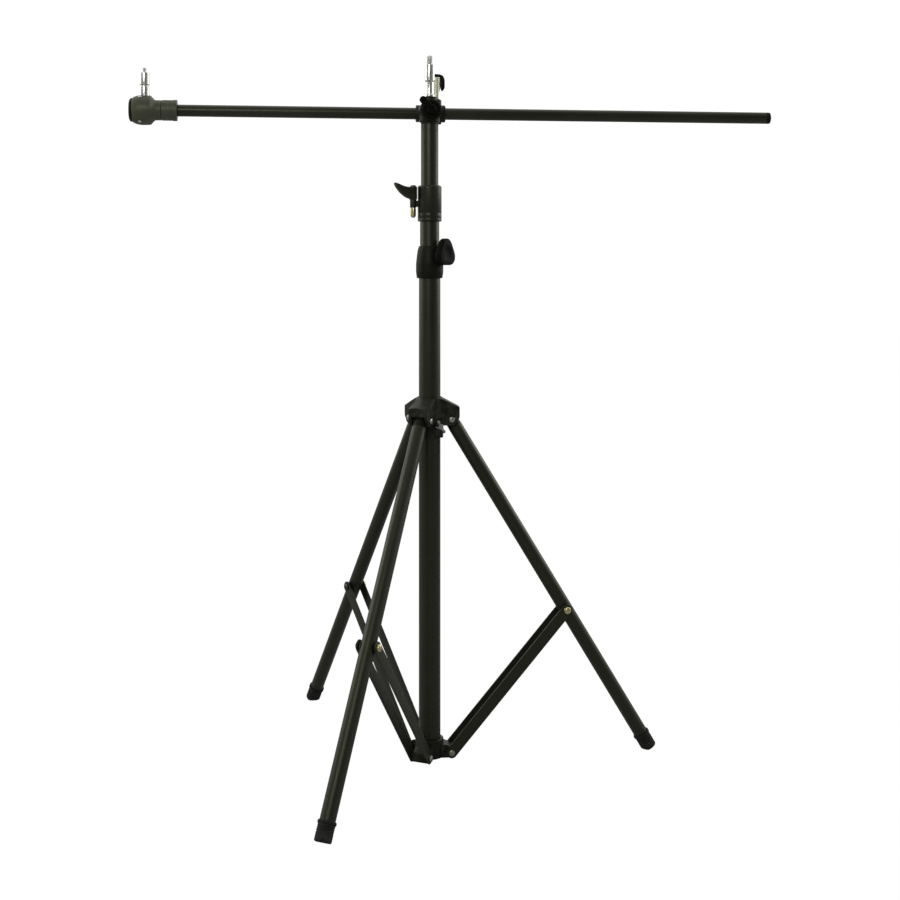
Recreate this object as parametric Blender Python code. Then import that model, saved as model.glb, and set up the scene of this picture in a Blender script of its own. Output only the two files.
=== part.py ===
"""Convertible boom light stand: a three-section mast on a folding three-leg base, with a boom
held by a tilting clamp on the mast's head and a spigot at the boom's end.

Metres, +Z up. The mast's axis is the Z axis and the floor is at z = 0. The boom and leg "b" lie
along X, the boom's spigot end towards -X. Each leg lies in an upright plane through the mast's axis.
"""
import math

import bmesh
import bpy
from mathutils import Matrix, Vector

# Clearances between neighbouring pieces
GAP = 0.0003            # pieces that are fixed together or sit face to face
TUBE_GAP = 0.0004       # a mast tube in the one below it

# Mast tubes, outside diameters and walls
COLUMN_D = 0.0350
COLUMN_WALL = 0.0014
MIDDLE_WALL = 0.0011
UPPER_WALL = 0.0011
COLUMN_TOP = 0.800      # height of the column's rim, inside the lower collar
MIDDLE_LENGTH = 0.750
UPPER_LENGTH = 0.750
COLLAR_DROP = 0.026     # lower collar's underside below the column's rim
MIDDLE_SHOWN = 0.040    # middle tube between the two collars
UPPER_SHOWN = 0.1018    # upper tube between the upper collar and the head
PLUG_DEPTH = 0.014      # how far a plug reaches into its tube
PLUG_FLANGE = 0.003

# Lower collar and its knob
LOWER_COLLAR_D = 0.0444
LOWER_COLLAR_LENGTH = 0.052
LOWER_KNOB_AZIMUTH = math.radians(-40)
LOWER_KNOB_RISE = 0.0400        # knob's axis above the collar's underside
LOWER_BOSS_D = 0.0180
LOWER_BOSS_REACH = 0.0238       # boss face from the mast's axis
LOWER_KNOB_D = 0.0480
LOWER_KNOB_LOBE = 0.0050        # rise and fall of the knob's three lobes
LOWER_KNOB_THICKNESS = 0.0115
CLAMP_SCREW_D = 0.0060

# Upper collar, its lever and the lever's bolt
UPPER_COLLAR_D = 0.0389
UPPER_COLLAR_LENGTH = 0.0582
UPPER_COLLAR_ROUND = 0.0040
SEAT_DEPTH = 0.034              # middle tube in the upper collar
SLIT_WIDTH = 0.0020
SLIT_LENGTH = 0.0220
EAR_AZIMUTH = math.radians(188)
EAR_RADIUS = 0.0275             # lever bolt from the mast's axis
EAR_D = 0.0106
EAR_RISE = 0.0220               # underside of the ear above the collar's underside
EAR_HEIGHT = 0.0126
EAR_WEB = 0.0070
LEVER_BOLT_D = 0.0050
LEVER_HUB_D = 0.0130
LEVER_HEIGHT = 0.0210
LEVER_WIDTH = 0.0140
LEVER_REACH = 0.0315            # lever's tip from its bolt
LEVER_TIP_RISE = 0.0065         # lever's tip above its hub
LEVER_NUT_D = 0.0094
LEVER_NUT_HEIGHT = 0.0146

# Mast head
HEAD_D = 0.0358                 # round body, across the boom
HEAD_NECK_D = 0.0330
HEAD_TOP_D = 0.0240
HEAD_TOP_RISE = 0.0410          # head's top above its underside
HEAD_FRONT = 0.0200             # round body's front face from the mast's axis
HEAD_BACK = 0.0180
PAN_BOLT_D = 0.0100
PAN_BOLT_HEAD_D = 0.0180
HEAD_THREAD = 0.0100            # thread engagement of the pan bolt and the spigot's stud

# Spigots
SPIGOT_D = 0.0160
MAST_SPIGOT_LENGTH = 0.0524
MAST_SPIGOT_WAIST_D = 0.0122
MAST_SPIGOT_WAIST = (0.0035, 0.0260)    # from and to, above the spigot's shoulder
MAST_SPIGOT_TIP_D = 0.0095
MAST_SPIGOT_TIP = 0.0146
SPIGOT_CHAMFER = 0.0010

# Clamp screw that locks the boom, beside the mast's spigot
CLAMP_BOSS_D = 0.0172
CLAMP_BOSS_OFFSET = 0.0145      # clamp screw from the tilt pin, along the boom
CLAMP_BOSS_LOW = -0.0170        # foot of the boss, from the boom's axis
CLAMP_BOSS_TOP = 0.0226
BOOM_SCREW_D = 0.0126
BOOM_SCREW_LENGTH = 0.0370
BOOM_STUD_D = 0.0060
BOOM_WING_REACH = 0.0140
BOOM_WING_HEIGHT = 0.0290
BOOM_WING_THICKNESS = 0.0070
BOOM_WING_CAP = 0.0050

# Boom, its clamp and the tilt knob
BOOM_D = 0.0192
BOOM_WALL = 0.0014
BOOM_RISE = 0.0184              # boom's axis above the head's underside
BOOM_SETBACK = 0.0340           # boom's axis behind the mast's axis
BOOM_LEFT = -0.4445
BOOM_RIGHT = 0.5752
BOOM_CAP = 0.0065
CLAMP_D = 0.0280
CLAMP_LEFT = -0.0190
CLAMP_RIGHT = 0.0290
CLAMP_PAD_D = 0.0215
TILT_PIN_D = 0.0120
TILT_STUD_D = 0.0080
TILT_STUD_LENGTH = 0.0085
TILT_KNOB_D = 0.0300
TILT_KNOB_THICKNESS = 0.0070
TILT_WING_WIDTH = 0.0110
TILT_WING_RISE = 0.0065
TILT_WING_REACH = 0.0258        # wing's end from the tilt axis
TILT_WING_ANGLE = math.radians(47)

# Boom head at the boom's left end
BOOM_HEAD_D = 0.0482
BOOM_HEAD_NECK_D = 0.0326
BOOM_HEAD_BODY = 0.0290         # length of the thick part
BOOM_HEAD_NECK = 0.0110
BOOM_HEAD_SHOULDER = 0.0060
BOOM_SOCKET = 0.0140            # boom in the head
BOOM_HEAD_CAP = 0.0050
BOOM_HEAD_CAP_D = 0.0390
BOOM_SPIGOT_FROM_FACE = 0.0270  # spigot's axis from the head's right face
BOOM_SPIGOT_TOP = 0.0598        # spigot's shoulder above the boom's axis
BOOM_SPIGOT_SEAT = 0.0140       # spigot's foot above the boom's axis
BOOM_SPIGOT_TIP_D = 0.0064
BOOM_SPIGOT_TIP = 0.0081
BOOM_SPIGOT_GROOVE_D = 0.0138
BOOM_SPIGOT_GROOVE = (0.0370, 0.0405)   # from and to, above the boom's axis
HEAD_SCREW_ANGLE = math.radians(36)     # cap screws, from the vertical
CAP_SCREW_D = 0.0050
CAP_SCREW_SHANK_D = 0.0028
CAP_SCREW_DEPTH = 0.0060
CAP_SCREW_SETBACK = 0.0330      # cap screws from the head's right face
RING_D = 0.0328
RING_FLANGE_D = 0.0342
RING_LENGTH = 0.0246
RING_FLANGE = 0.0070

# Leg collar
FOLD_RADIUS = 0.0342            # leg and brace pivots from the mast's axis
LEG_PIVOT_HEIGHT = 0.5463
LEG_COLLAR_BELOW = 0.0293       # collar's underside below the leg pivots
LEG_COLLAR_ABOVE = 0.0359       # collar's top above them
LEG_COLLAR_RIM_DROP = 0.0150    # fall of the roof from the mast to the lobes' ends
LEG_COLLAR_WALL = 0.0028
LEG_LINER = 0.0012
LOBE_REACH = 0.0470
LOBE_LOW = 0.0095               # underside of the lobes below the leg pivots
LOBE_EDGE = 0.0030              # foot of the lobes' outer faces above the leg pivots
CHEEK = 0.0045
BROW_ANGLE = 35                 # height of the slot's outer mouth, as an angle from the pivot
LEG_BOLT_D = 0.0050
LEG_BOLT_HEAD_D = 0.0090
LEG_BOLT_HEAD = 0.0030
WING_AZIMUTH = math.radians(-65)
WING_BELOW = 0.0098             # wing screw's axis below the leg pivots
WING_BOSS_D = 0.0120
WING_BOSS_REACH = 0.0268
WING_SCREW_D = 0.0060
WING_HUB_D = 0.0110
WING_HUB = 0.0090
WING_SPAN = 0.0250
WING_THICKNESS = 0.0036
WING_DEPTH = 0.0095

# Legs and braces
LEG_D = 0.0230
LEG_WALL = 0.0014
LEG_ANGLE = math.radians(31.2)  # from the vertical
LEG_TO_BRACE = 0.3650           # brace bolt from the leg's pivot, along the leg
LEG_SIDE_GAP = 0.0005           # leg to the fork's cheeks
KNUCKLE = 0.0125                # knuckle's length below the pivot, before the tube starts
KNUCKLE_PLUG = 0.0180
LEG_FOOT_D = 0.0250
LEG_FOOT_RIM_D = 0.0272
LEG_FOOT_RIM = 0.0045
LEG_FOOT_DIP = 0.0050           # depth that the floor's flat takes off the foot's lower edge
LEG_FOOT_LENGTH = 0.0300
LEG_END = 0.0130                # end of the leg tube above the floor, along the leg
BRACE_WIDTH = 0.0180
BRACE_THICKNESS = 0.0025
BRACE_SPACING = 0.0275          # between the inner faces of a pair of strips
BRACE_HOLE_D = 0.0066
BRACE_HEAD_D = 0.0110
BRACE_HEAD = 0.0034
BRACE_NUT_D = 0.0115
BRACE_NUT = 0.0052
AZIMUTHS = {"a": math.radians(-120), "b": 0.0, "c": math.radians(120)}
NUT_SIDES = {"a": -1, "b": 1, "c": 1}   # side of the brass nut, 1 clockwise of the leg from above

# Bottom hub and foot plug
HUB_PIVOT_HEIGHT = 0.0095
HUB_LUG_R = 0.0085
HUB_D = 0.0450
HUB_TOP = 0.0310
HUB_LUG_HEIGHT = 0.0220
HUB_BOLT_D = 0.0060
HUB_BOLT_HEAD_D = 0.0100
HUB_BOLT_HEAD = 0.0036
FOOT_PLUG = 0.0030

# Facets round each piece
MAST_SIDES = 28
BODY_SIDES = 20
ROD_SIDES = 16
HOLE_SIDES = 12
ARC_STEPS = 6

# Sizes that follow from those above
COLUMN_R = COLUMN_D / 2
COLUMN_BORE_R = COLUMN_R - COLUMN_WALL
MIDDLE_R = COLUMN_BORE_R - TUBE_GAP
MIDDLE_BORE_R = MIDDLE_R - MIDDLE_WALL
UPPER_R = MIDDLE_BORE_R - TUBE_GAP
UPPER_BORE_R = UPPER_R - UPPER_WALL
COLLAR_HEIGHT = COLUMN_TOP - COLLAR_DROP
LOWER_COLLAR_TOP = COLLAR_HEIGHT + LOWER_COLLAR_LENGTH
UPPER_COLLAR_HEIGHT = LOWER_COLLAR_TOP + MIDDLE_SHOWN
UPPER_COLLAR_TOP = UPPER_COLLAR_HEIGHT + UPPER_COLLAR_LENGTH
HEAD_HEIGHT = UPPER_COLLAR_TOP + UPPER_SHOWN
MIDDLE_TOP = UPPER_COLLAR_HEIGHT + SEAT_DEPTH
MIDDLE_LOW = MIDDLE_TOP - MIDDLE_LENGTH
UPPER_TOP = HEAD_HEIGHT - PLUG_FLANGE
UPPER_LOW = UPPER_TOP - UPPER_LENGTH
LOWER_KNOB_HEIGHT = COLLAR_HEIGHT + LOWER_KNOB_RISE
EAR_LOW = UPPER_COLLAR_HEIGHT + EAR_RISE
EAR_TOP = EAR_LOW + EAR_HEIGHT
LEVER_LOW = EAR_TOP + GAP
LEVER_TOP = LEVER_LOW + LEVER_HEIGHT
HEAD_LOW = HEAD_HEIGHT + GAP
HEAD_TOP = HEAD_HEIGHT + HEAD_TOP_RISE
BOOM_HEIGHT = HEAD_HEIGHT + BOOM_RISE
BOOM_R = BOOM_D / 2
LEG_R = LEG_D / 2
FORK_HALF = LEG_R + LEG_SIDE_GAP
LOBE_HALF = FORK_HALF + CHEEK
LINER_BORE_R = COLUMN_R + GAP
LEG_COLLAR_BORE_R = LINER_BORE_R + LEG_LINER + GAP
LEG_COLLAR_R = LEG_COLLAR_BORE_R + LEG_COLLAR_WALL
LEG_COLLAR_LOW = LEG_PIVOT_HEIGHT - LEG_COLLAR_BELOW
LEG_COLLAR_TOP = LEG_PIVOT_HEIGHT + LEG_COLLAR_ABOVE
WING_HEIGHT = LEG_PIVOT_HEIGHT - WING_BELOW
LEG_LENGTH = LEG_PIVOT_HEIGHT / math.cos(LEG_ANGLE)
BRACE_TOP = (
    FOLD_RADIUS + LEG_TO_BRACE * math.sin(LEG_ANGLE),
    LEG_PIVOT_HEIGHT - LEG_TO_BRACE * math.cos(LEG_ANGLE),
)
BRACE_INNER = BRACE_SPACING / 2
BRACE_OUTER = BRACE_INNER + BRACE_THICKNESS


def clear_scene():
    for thing in list(bpy.data.objects):
        bpy.data.objects.remove(thing, do_unlink=True)


def make_material(name, colour, roughness, metallic):
    material = bpy.data.materials.new(name)
    material.use_nodes = True
    shader = material.node_tree.nodes["Principled BSDF"]
    shader.inputs["Base Color"].default_value = (*colour, 1.0)
    shader.inputs["Roughness"].default_value = roughness
    shader.inputs["Metallic"].default_value = metallic
    return material


def make_object(name, solid, material=None, origin=(0, 0, 0)):
    """Turn a bmesh in world coordinates into an object whose origin is at the given point."""
    bmesh.ops.recalc_face_normals(solid, faces=solid.faces[:])
    if solid.calc_volume(signed=True) < 0:
        bmesh.ops.reverse_faces(solid, faces=solid.faces[:])
    mesh = bpy.data.meshes.new(name)
    solid.to_mesh(mesh)
    solid.free()
    thing = bpy.data.objects.new(name, mesh)
    bpy.context.scene.collection.objects.link(thing)
    finish_object(thing, material, origin)
    return thing


def finish_object(thing, material, origin=(0, 0, 0)):
    thing.data.transform(Matrix.Translation(-Vector(origin)))
    thing.location = origin
    thing.data.shade_smooth()
    thing.data.set_sharp_from_angle(angle=math.radians(32))
    if material:
        thing.data.materials.clear()
        thing.data.materials.append(material)


def triangulate(mesh):
    solid = bmesh.new()
    solid.from_mesh(mesh)
    bmesh.ops.triangulate(solid, faces=solid.faces[:])
    solid.to_mesh(mesh)
    solid.free()


def combine(thing, tool, operation):
    """Join or cut an object with a bmesh solid, both in world coordinates."""
    helper = make_object("helper", tool)
    triangulate(thing.data)
    triangulate(helper.data)
    step = thing.modifiers.new(operation, "BOOLEAN")
    step.solver = "EXACT"
    step.operation = operation
    step.object = helper
    bpy.context.view_layer.update()
    graph = bpy.context.evaluated_depsgraph_get()
    result = bpy.data.meshes.new_from_object(thing.evaluated_get(graph))
    thing.modifiers.clear()
    old = thing.data
    thing.data = result
    bpy.data.meshes.remove(old)
    bpy.data.objects.remove(helper, do_unlink=True)


def shape(name, material, start, joined=(), cut=(), origin=(0, 0, 0)):
    """Build an object from one solid, more solids joined to it, and solids cut out of it."""
    thing = make_object(name, start)
    for solid in joined:
        combine(thing, solid, "UNION")
    for solid in cut:
        combine(thing, solid, "DIFFERENCE")
    finish_object(thing, material, origin)
    return thing


def turned(profile, sides, place=Matrix()):
    """Turn a closed (radius, height) outline round the local Z axis."""
    solid = bmesh.new()
    rings = []
    for radius, height in profile:
        count = sides if radius > 0 else 1
        ring = []
        for step in range(count):
            angle = math.tau * (step + 0.5) / sides
            ring.append(solid.verts.new((radius * math.cos(angle), radius * math.sin(angle), height)))
        rings.append(ring)
    for ring, following in zip(rings, rings[1:] + rings[:1]):
        for step in range(sides):
            corners = [
                ring[step % len(ring)],
                ring[(step + 1) % len(ring)],
                following[(step + 1) % len(following)],
                following[step % len(following)],
            ]
            corners = list(dict.fromkeys(corners))
            if len(corners) > 2:
                solid.faces.new(corners)
    solid.transform(place)
    return solid


def rod(radius, low, high, sides=ROD_SIDES, place=Matrix()):
    return turned([(0, low), (radius, low), (radius, high), (0, high)], sides, place)


def pipe(bore, radius, low, high, sides=MAST_SIDES, place=Matrix()):
    return turned([(bore, low), (radius, low), (radius, high), (bore, high)], sides, place)


def prism(outline, low, high, place=Matrix()):
    """Extrude an outline in the local XY plane from low to high along the local Z axis."""
    solid = bmesh.new()
    base = solid.faces.new([solid.verts.new((x, y, low)) for x, y in outline])
    raised = bmesh.ops.extrude_face_region(solid, geom=[base])
    tops = [item for item in raised["geom"] if isinstance(item, bmesh.types.BMVert)]
    bmesh.ops.translate(solid, verts=tops, vec=(0, 0, high - low))
    solid.transform(place)
    return solid


def block(low, high, place=Matrix()):
    outline = [(low[0], low[1]), (high[0], low[1]), (high[0], high[1]), (low[0], high[1])]
    return prism(outline, low[2], high[2], place)


def arc(centre, radius, start, end, steps=ARC_STEPS):
    """Points on a circle, both ends included, angles in degrees."""
    points = []
    for step in range(steps + 1):
        angle = math.radians(start + (end - start) * step / steps)
        points.append((centre[0] + radius * math.cos(angle), centre[1] + radius * math.sin(angle)))
    return points


def turned_about_mast(azimuth):
    return Matrix.Rotation(azimuth, 4, "Z")


def upright_plane(azimuth):
    """Local X runs outward, local Y up and local Z across the plane."""
    return turned_about_mast(azimuth) @ Matrix.Rotation(math.pi / 2, 4, "X")


def across_plane(azimuth, radius, height):
    """Local Z runs across an upright plane, through a point of that plane."""
    to_point = Matrix.Translation((radius, 0, height))
    return turned_about_mast(azimuth) @ to_point @ Matrix.Rotation(-math.pi / 2, 4, "X")


def outward(azimuth, height):
    """Local Z runs outward from the mast's axis."""
    to_height = Matrix.Translation((0, 0, height))
    return turned_about_mast(azimuth) @ to_height @ Matrix.Rotation(math.pi / 2, 4, "Y")


def along_boom():
    """Local Z runs along the boom, measured from the mast."""
    to_boom = Matrix.Translation((0, BOOM_SETBACK, BOOM_HEIGHT))
    return to_boom @ Matrix.Rotation(math.pi / 2, 4, "Y")


def along_tilt():
    """Local Z runs along the tilt pin, from the mast's axis towards the boom."""
    return Matrix.Translation((0, 0, BOOM_HEIGHT)) @ Matrix.Rotation(-math.pi / 2, 4, "X")


def down_leg(azimuth):
    """Local Z runs down the leg from its pivot."""
    to_pivot = Matrix.Translation((FOLD_RADIUS, 0, LEG_PIVOT_HEIGHT))
    return turned_about_mast(azimuth) @ to_pivot @ Matrix.Rotation(math.pi - LEG_ANGLE, 4, "Y")


def world_point(azimuth, radius, height):
    return (radius * math.cos(azimuth), radius * math.sin(azimuth), height)


def make_materials():
    return {
        "tube": make_material("black_tube", (0.030, 0.031, 0.026), 0.34, 0.4),
        "plastic": make_material("black_plastic", (0.018, 0.018, 0.017), 0.50, 0.0),
        "cast": make_material("black_casting", (0.022, 0.022, 0.021), 0.45, 0.3),
        "chrome": make_material("chrome", (0.75, 0.75, 0.72), 0.10, 1.0),
        "steel": make_material("zinc_steel", (0.45, 0.45, 0.42), 0.30, 1.0),
        "brass": make_material("brass", (0.62, 0.53, 0.26), 0.28, 1.0),
        "rubber": make_material("rubber", (0.020, 0.020, 0.020), 0.80, 0.0),
        "liner": make_material("grey_plastic", (0.12, 0.12, 0.12), 0.60, 0.0),
    }


def build_column(mats):
    seat = FOOT_PLUG + GAP
    column = pipe(COLUMN_BORE_R, COLUMN_R, seat, COLUMN_TOP)
    make_object("column_tube", column, mats["tube"])
    plug_r = COLUMN_BORE_R - GAP
    foot = turned(
        [
            (0, 0),
            (COLUMN_R, 0),
            (COLUMN_R, FOOT_PLUG),
            (plug_r, FOOT_PLUG),
            (plug_r, PLUG_DEPTH),
            (0, PLUG_DEPTH),
        ],
        MAST_SIDES,
    )
    make_object("column_foot", foot, mats["plastic"])


def build_bottom_hub(mats):
    chamfer = HUB_LUG_R * 0.3
    hub_r = HUB_D / 2
    low = HUB_PIVOT_HEIGHT - HUB_LUG_R
    ring = turned(
        [(0, low), (hub_r, low), (hub_r, HUB_TOP - chamfer), (hub_r - chamfer, HUB_TOP), (0, HUB_TOP)],
        MAST_SIDES,
    )
    half = BRACE_INNER - LEG_SIDE_GAP
    inner = COLUMN_R / 2
    lugs = []
    holes = []
    for azimuth in AZIMUTHS.values():
        outline = [(inner, low)]
        outline += arc((FOLD_RADIUS, HUB_PIVOT_HEIGHT), HUB_LUG_R, -90, 90)
        outline += [(hub_r + chamfer, HUB_LUG_HEIGHT), (inner, HUB_LUG_HEIGHT)]
        lugs.append(prism(outline, -half, half, upright_plane(azimuth)))
        across = across_plane(azimuth, FOLD_RADIUS, HUB_PIVOT_HEIGHT)
        holes.append(rod(HUB_BOLT_D / 2 + GAP, -LOBE_REACH, LOBE_REACH, HOLE_SIDES, across))
    bore = rod(COLUMN_R + GAP, low - HUB_D, HUB_TOP + HUB_D, MAST_SIDES)
    shape("bottom_hub", mats["cast"], ring, lugs, [bore] + holes)


def build_hub_bolts(mats):
    shank = HUB_BOLT_D / 2
    head = HUB_BOLT_HEAD_D / 2
    seat = BRACE_OUTER + GAP
    end = seat + HUB_BOLT_HEAD
    profile = [
        (0, -end),
        (head, -end),
        (head, -seat),
        (shank, -seat),
        (shank, seat),
        (head, seat),
        (head, end),
        (0, end),
    ]
    for key, azimuth in AZIMUTHS.items():
        place = across_plane(azimuth, FOLD_RADIUS, HUB_PIVOT_HEIGHT)
        make_object(f"hub_bolt_{key}", turned(profile, HOLE_SIDES, place), mats["chrome"])


def build_lower_collar(mats):
    low = COLLAR_HEIGHT
    top = LOWER_COLLAR_TOP
    radius = LOWER_COLLAR_D / 2
    rim = MIDDLE_R + GAP
    body = turned(
        [
            (0, low),
            (radius - 0.0014, low),
            (radius, low + LOWER_COLLAR_LENGTH * 0.2),
            (radius, low + LOWER_COLLAR_LENGTH * 0.45),
            (radius - 0.0014, low + LOWER_COLLAR_LENGTH * 0.7),
            (radius - 0.0028, low + LOWER_COLLAR_LENGTH * 0.88),
            (rim + (radius - rim) * 0.25, top),
            (0, top),
        ],
        MAST_SIDES,
    )
    out = outward(LOWER_KNOB_AZIMUTH, LOWER_KNOB_HEIGHT)
    boss = rod(LOWER_BOSS_D / 2, MIDDLE_R / 2, LOWER_BOSS_REACH, BODY_SIDES, out)
    step = COLUMN_TOP + GAP
    column_r = COLUMN_R + GAP
    bore = turned(
        [
            (0, low - COLUMN_D),
            (column_r, low - COLUMN_D),
            (column_r, step),
            (rim, step),
            (rim, top + COLUMN_D),
            (0, top + COLUMN_D),
        ],
        MAST_SIDES,
    )
    screw_hole = rod(CLAMP_SCREW_D / 2 + GAP, MIDDLE_R / 2, LOWER_BOSS_REACH + COLUMN_D, HOLE_SIDES, out)
    shape("lower_collar", mats["plastic"], body, [boss], [bore, screw_hole])


def build_lower_knob(mats):
    out = outward(LOWER_KNOB_AZIMUTH, LOWER_KNOB_HEIGHT)
    low = LOWER_BOSS_REACH + GAP
    high = low + LOWER_KNOB_THICKNESS
    screw_end = high - LOWER_KNOB_THICKNESS * 0.3
    origin = out @ Vector((0, 0, low))
    outline = []
    points = 36
    for step in range(points):
        angle = math.tau * step / points
        reach = LOWER_KNOB_D / 2 - LOWER_KNOB_LOBE * (1 + math.cos(3 * angle)) / 2
        outline.append((reach * math.cos(angle), reach * math.sin(angle)))
    knob = prism(outline, low, high, out)
    hole = rod(CLAMP_SCREW_D / 2 + GAP, low - COLUMN_D, screw_end + GAP, HOLE_SIDES, out)
    shape("lower_knob", mats["plastic"], knob, cut=[hole], origin=origin)
    screw = rod(CLAMP_SCREW_D / 2, MIDDLE_R + GAP, screw_end, HOLE_SIDES, out)
    make_object("lower_knob_screw", screw, mats["steel"], origin)


def build_tube_plug(name, tube_r, bore_r, low, mats):
    """Guide plug at a tube's lower end: a flange under the rim and a body inside."""
    body_r = bore_r - GAP
    flange_low = low - PLUG_FLANGE
    flange_top = low - GAP
    profile = [(0, flange_low), (tube_r, flange_low), (tube_r, flange_top), (body_r, flange_top)]
    profile += [(body_r, low + PLUG_DEPTH), (0, low + PLUG_DEPTH)]
    make_object(name, turned(profile, MAST_SIDES), mats["liner"])


def build_middle_tube(mats):
    make_object("middle_tube", pipe(MIDDLE_BORE_R, MIDDLE_R, MIDDLE_LOW, MIDDLE_TOP), mats["tube"])
    build_tube_plug("middle_plug", MIDDLE_R, MIDDLE_BORE_R, MIDDLE_LOW, mats)


def build_upper_collar(mats):
    low = UPPER_COLLAR_HEIGHT
    top = UPPER_COLLAR_TOP
    radius = UPPER_COLLAR_D / 2
    shoulder = arc((radius - UPPER_COLLAR_ROUND, top - UPPER_COLLAR_ROUND), UPPER_COLLAR_ROUND, 0, 90, 5)
    body = turned([(0, low), (radius, low)] + shoulder + [(0, top)], MAST_SIDES)
    turn = turned_about_mast(EAR_AZIMUTH)
    ear = rod(EAR_D / 2, EAR_LOW, EAR_TOP, ROD_SIDES, turn @ Matrix.Translation((EAR_RADIUS, 0, 0)))
    inset = EAR_HEIGHT * 0.1
    web = block(
        (MIDDLE_R / 2, -EAR_WEB / 2, EAR_LOW + inset),
        (EAR_RADIUS, EAR_WEB / 2, EAR_TOP - inset),
        turn,
    )
    step = MIDDLE_TOP + GAP
    seat_r = MIDDLE_R + GAP
    guide_r = UPPER_R + GAP
    bore = turned(
        [
            (0, low - COLUMN_D),
            (seat_r, low - COLUMN_D),
            (seat_r, step),
            (guide_r, step),
            (guide_r, top + COLUMN_D),
            (0, top + COLUMN_D),
        ],
        MAST_SIDES,
    )
    bolt_place = turn @ Matrix.Translation((EAR_RADIUS, 0, 0))
    bolt_hole = rod(LEVER_BOLT_D / 2 + GAP, low - COLUMN_D, top + COLUMN_D, HOLE_SIDES, bolt_place)
    slit = block(
        (0, -SLIT_WIDTH / 2, top - SLIT_LENGTH), (UPPER_COLLAR_D, SLIT_WIDTH / 2, top + COLUMN_D), turn
    )
    shape("upper_collar", mats["plastic"], body, [web, ear], [bore, bolt_hole, slit])


def build_lever(mats):
    turn = turned_about_mast(EAR_AZIMUTH)
    place = turn @ Matrix.Translation((EAR_RADIUS, 0, 0))
    origin = place @ Vector((0, 0, LEVER_LOW))
    bolt_r = LEVER_BOLT_D / 2
    hub = rod(LEVER_HUB_D / 2, LEVER_LOW, LEVER_TOP, ROD_SIDES, place)
    tip = (LEVER_REACH, LEVER_TOP + LEVER_TIP_RISE)
    inset = LEVER_HEIGHT * 0.03
    outline = [
        (0, LEVER_TOP - inset),
        (0, LEVER_LOW + inset),
        (LEVER_REACH * 0.15, LEVER_LOW + inset),
        (LEVER_REACH * 0.42, LEVER_LOW + LEVER_HEIGHT * 0.16),
        (LEVER_REACH * 0.68, LEVER_LOW + LEVER_HEIGHT * 0.48),
        (LEVER_REACH * 0.88, LEVER_LOW + LEVER_HEIGHT * 0.88),
        (tip[0], tip[1] - LEVER_TIP_RISE * 0.3),
        tip,
        (LEVER_REACH * 0.78, LEVER_TOP + LEVER_TIP_RISE * 0.95),
        (LEVER_REACH * 0.60, LEVER_TOP + LEVER_TIP_RISE * 0.45),
        (LEVER_REACH * 0.45, LEVER_TOP + inset),
    ]
    upright = turn @ Matrix.Translation((EAR_RADIUS, 0, 0)) @ Matrix.Rotation(math.pi / 2, 4, "X")
    handle = prism(outline, -LEVER_WIDTH / 2, LEVER_WIDTH / 2, upright)
    hole = rod(bolt_r + GAP, LEVER_LOW - COLUMN_D, LEVER_TOP + COLUMN_D, HOLE_SIDES, place)
    shape("collar_lever", mats["plastic"], handle, [hub], [hole], origin)

    head_low = LEVER_TOP + GAP
    nut_top = EAR_LOW - GAP
    nut_low = nut_top - LEVER_NUT_HEIGHT
    bolt_low = nut_low - LEVER_BOLT_D * 0.3
    head_r = LEVER_BOLT_D * 0.9
    profile = [(0, bolt_low), (bolt_r, bolt_low), (bolt_r, head_low), (head_r, head_low)]
    profile += [(head_r, head_low + bolt_r), (0, head_low + bolt_r)]
    make_object("lever_bolt", turned(profile, HOLE_SIDES, place), mats["steel"])
    bore_r = (bolt_r + GAP) / math.cos(math.pi / 6)
    nut = pipe(bore_r, LEVER_NUT_D / 2, nut_low, nut_top, 6, place)
    make_object("lever_nut", nut, mats["brass"])


def build_upper_tube(mats):
    make_object("upper_tube", pipe(UPPER_BORE_R, UPPER_R, UPPER_LOW, UPPER_TOP), mats["tube"])
    build_tube_plug("upper_plug", UPPER_R, UPPER_BORE_R, UPPER_LOW, mats)
    body_r = UPPER_BORE_R - GAP
    bore_r = PAN_BOLT_D / 2 + GAP
    flange_low = UPPER_TOP + GAP
    plug_low = UPPER_TOP - PLUG_DEPTH
    profile = [(bore_r, plug_low), (body_r, plug_low), (body_r, flange_low), (UPPER_R, flange_low)]
    profile += [(UPPER_R, HEAD_HEIGHT), (bore_r, HEAD_HEIGHT)]
    make_object("mast_top_plug", turned(profile, MAST_SIDES), mats["cast"])


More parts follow.
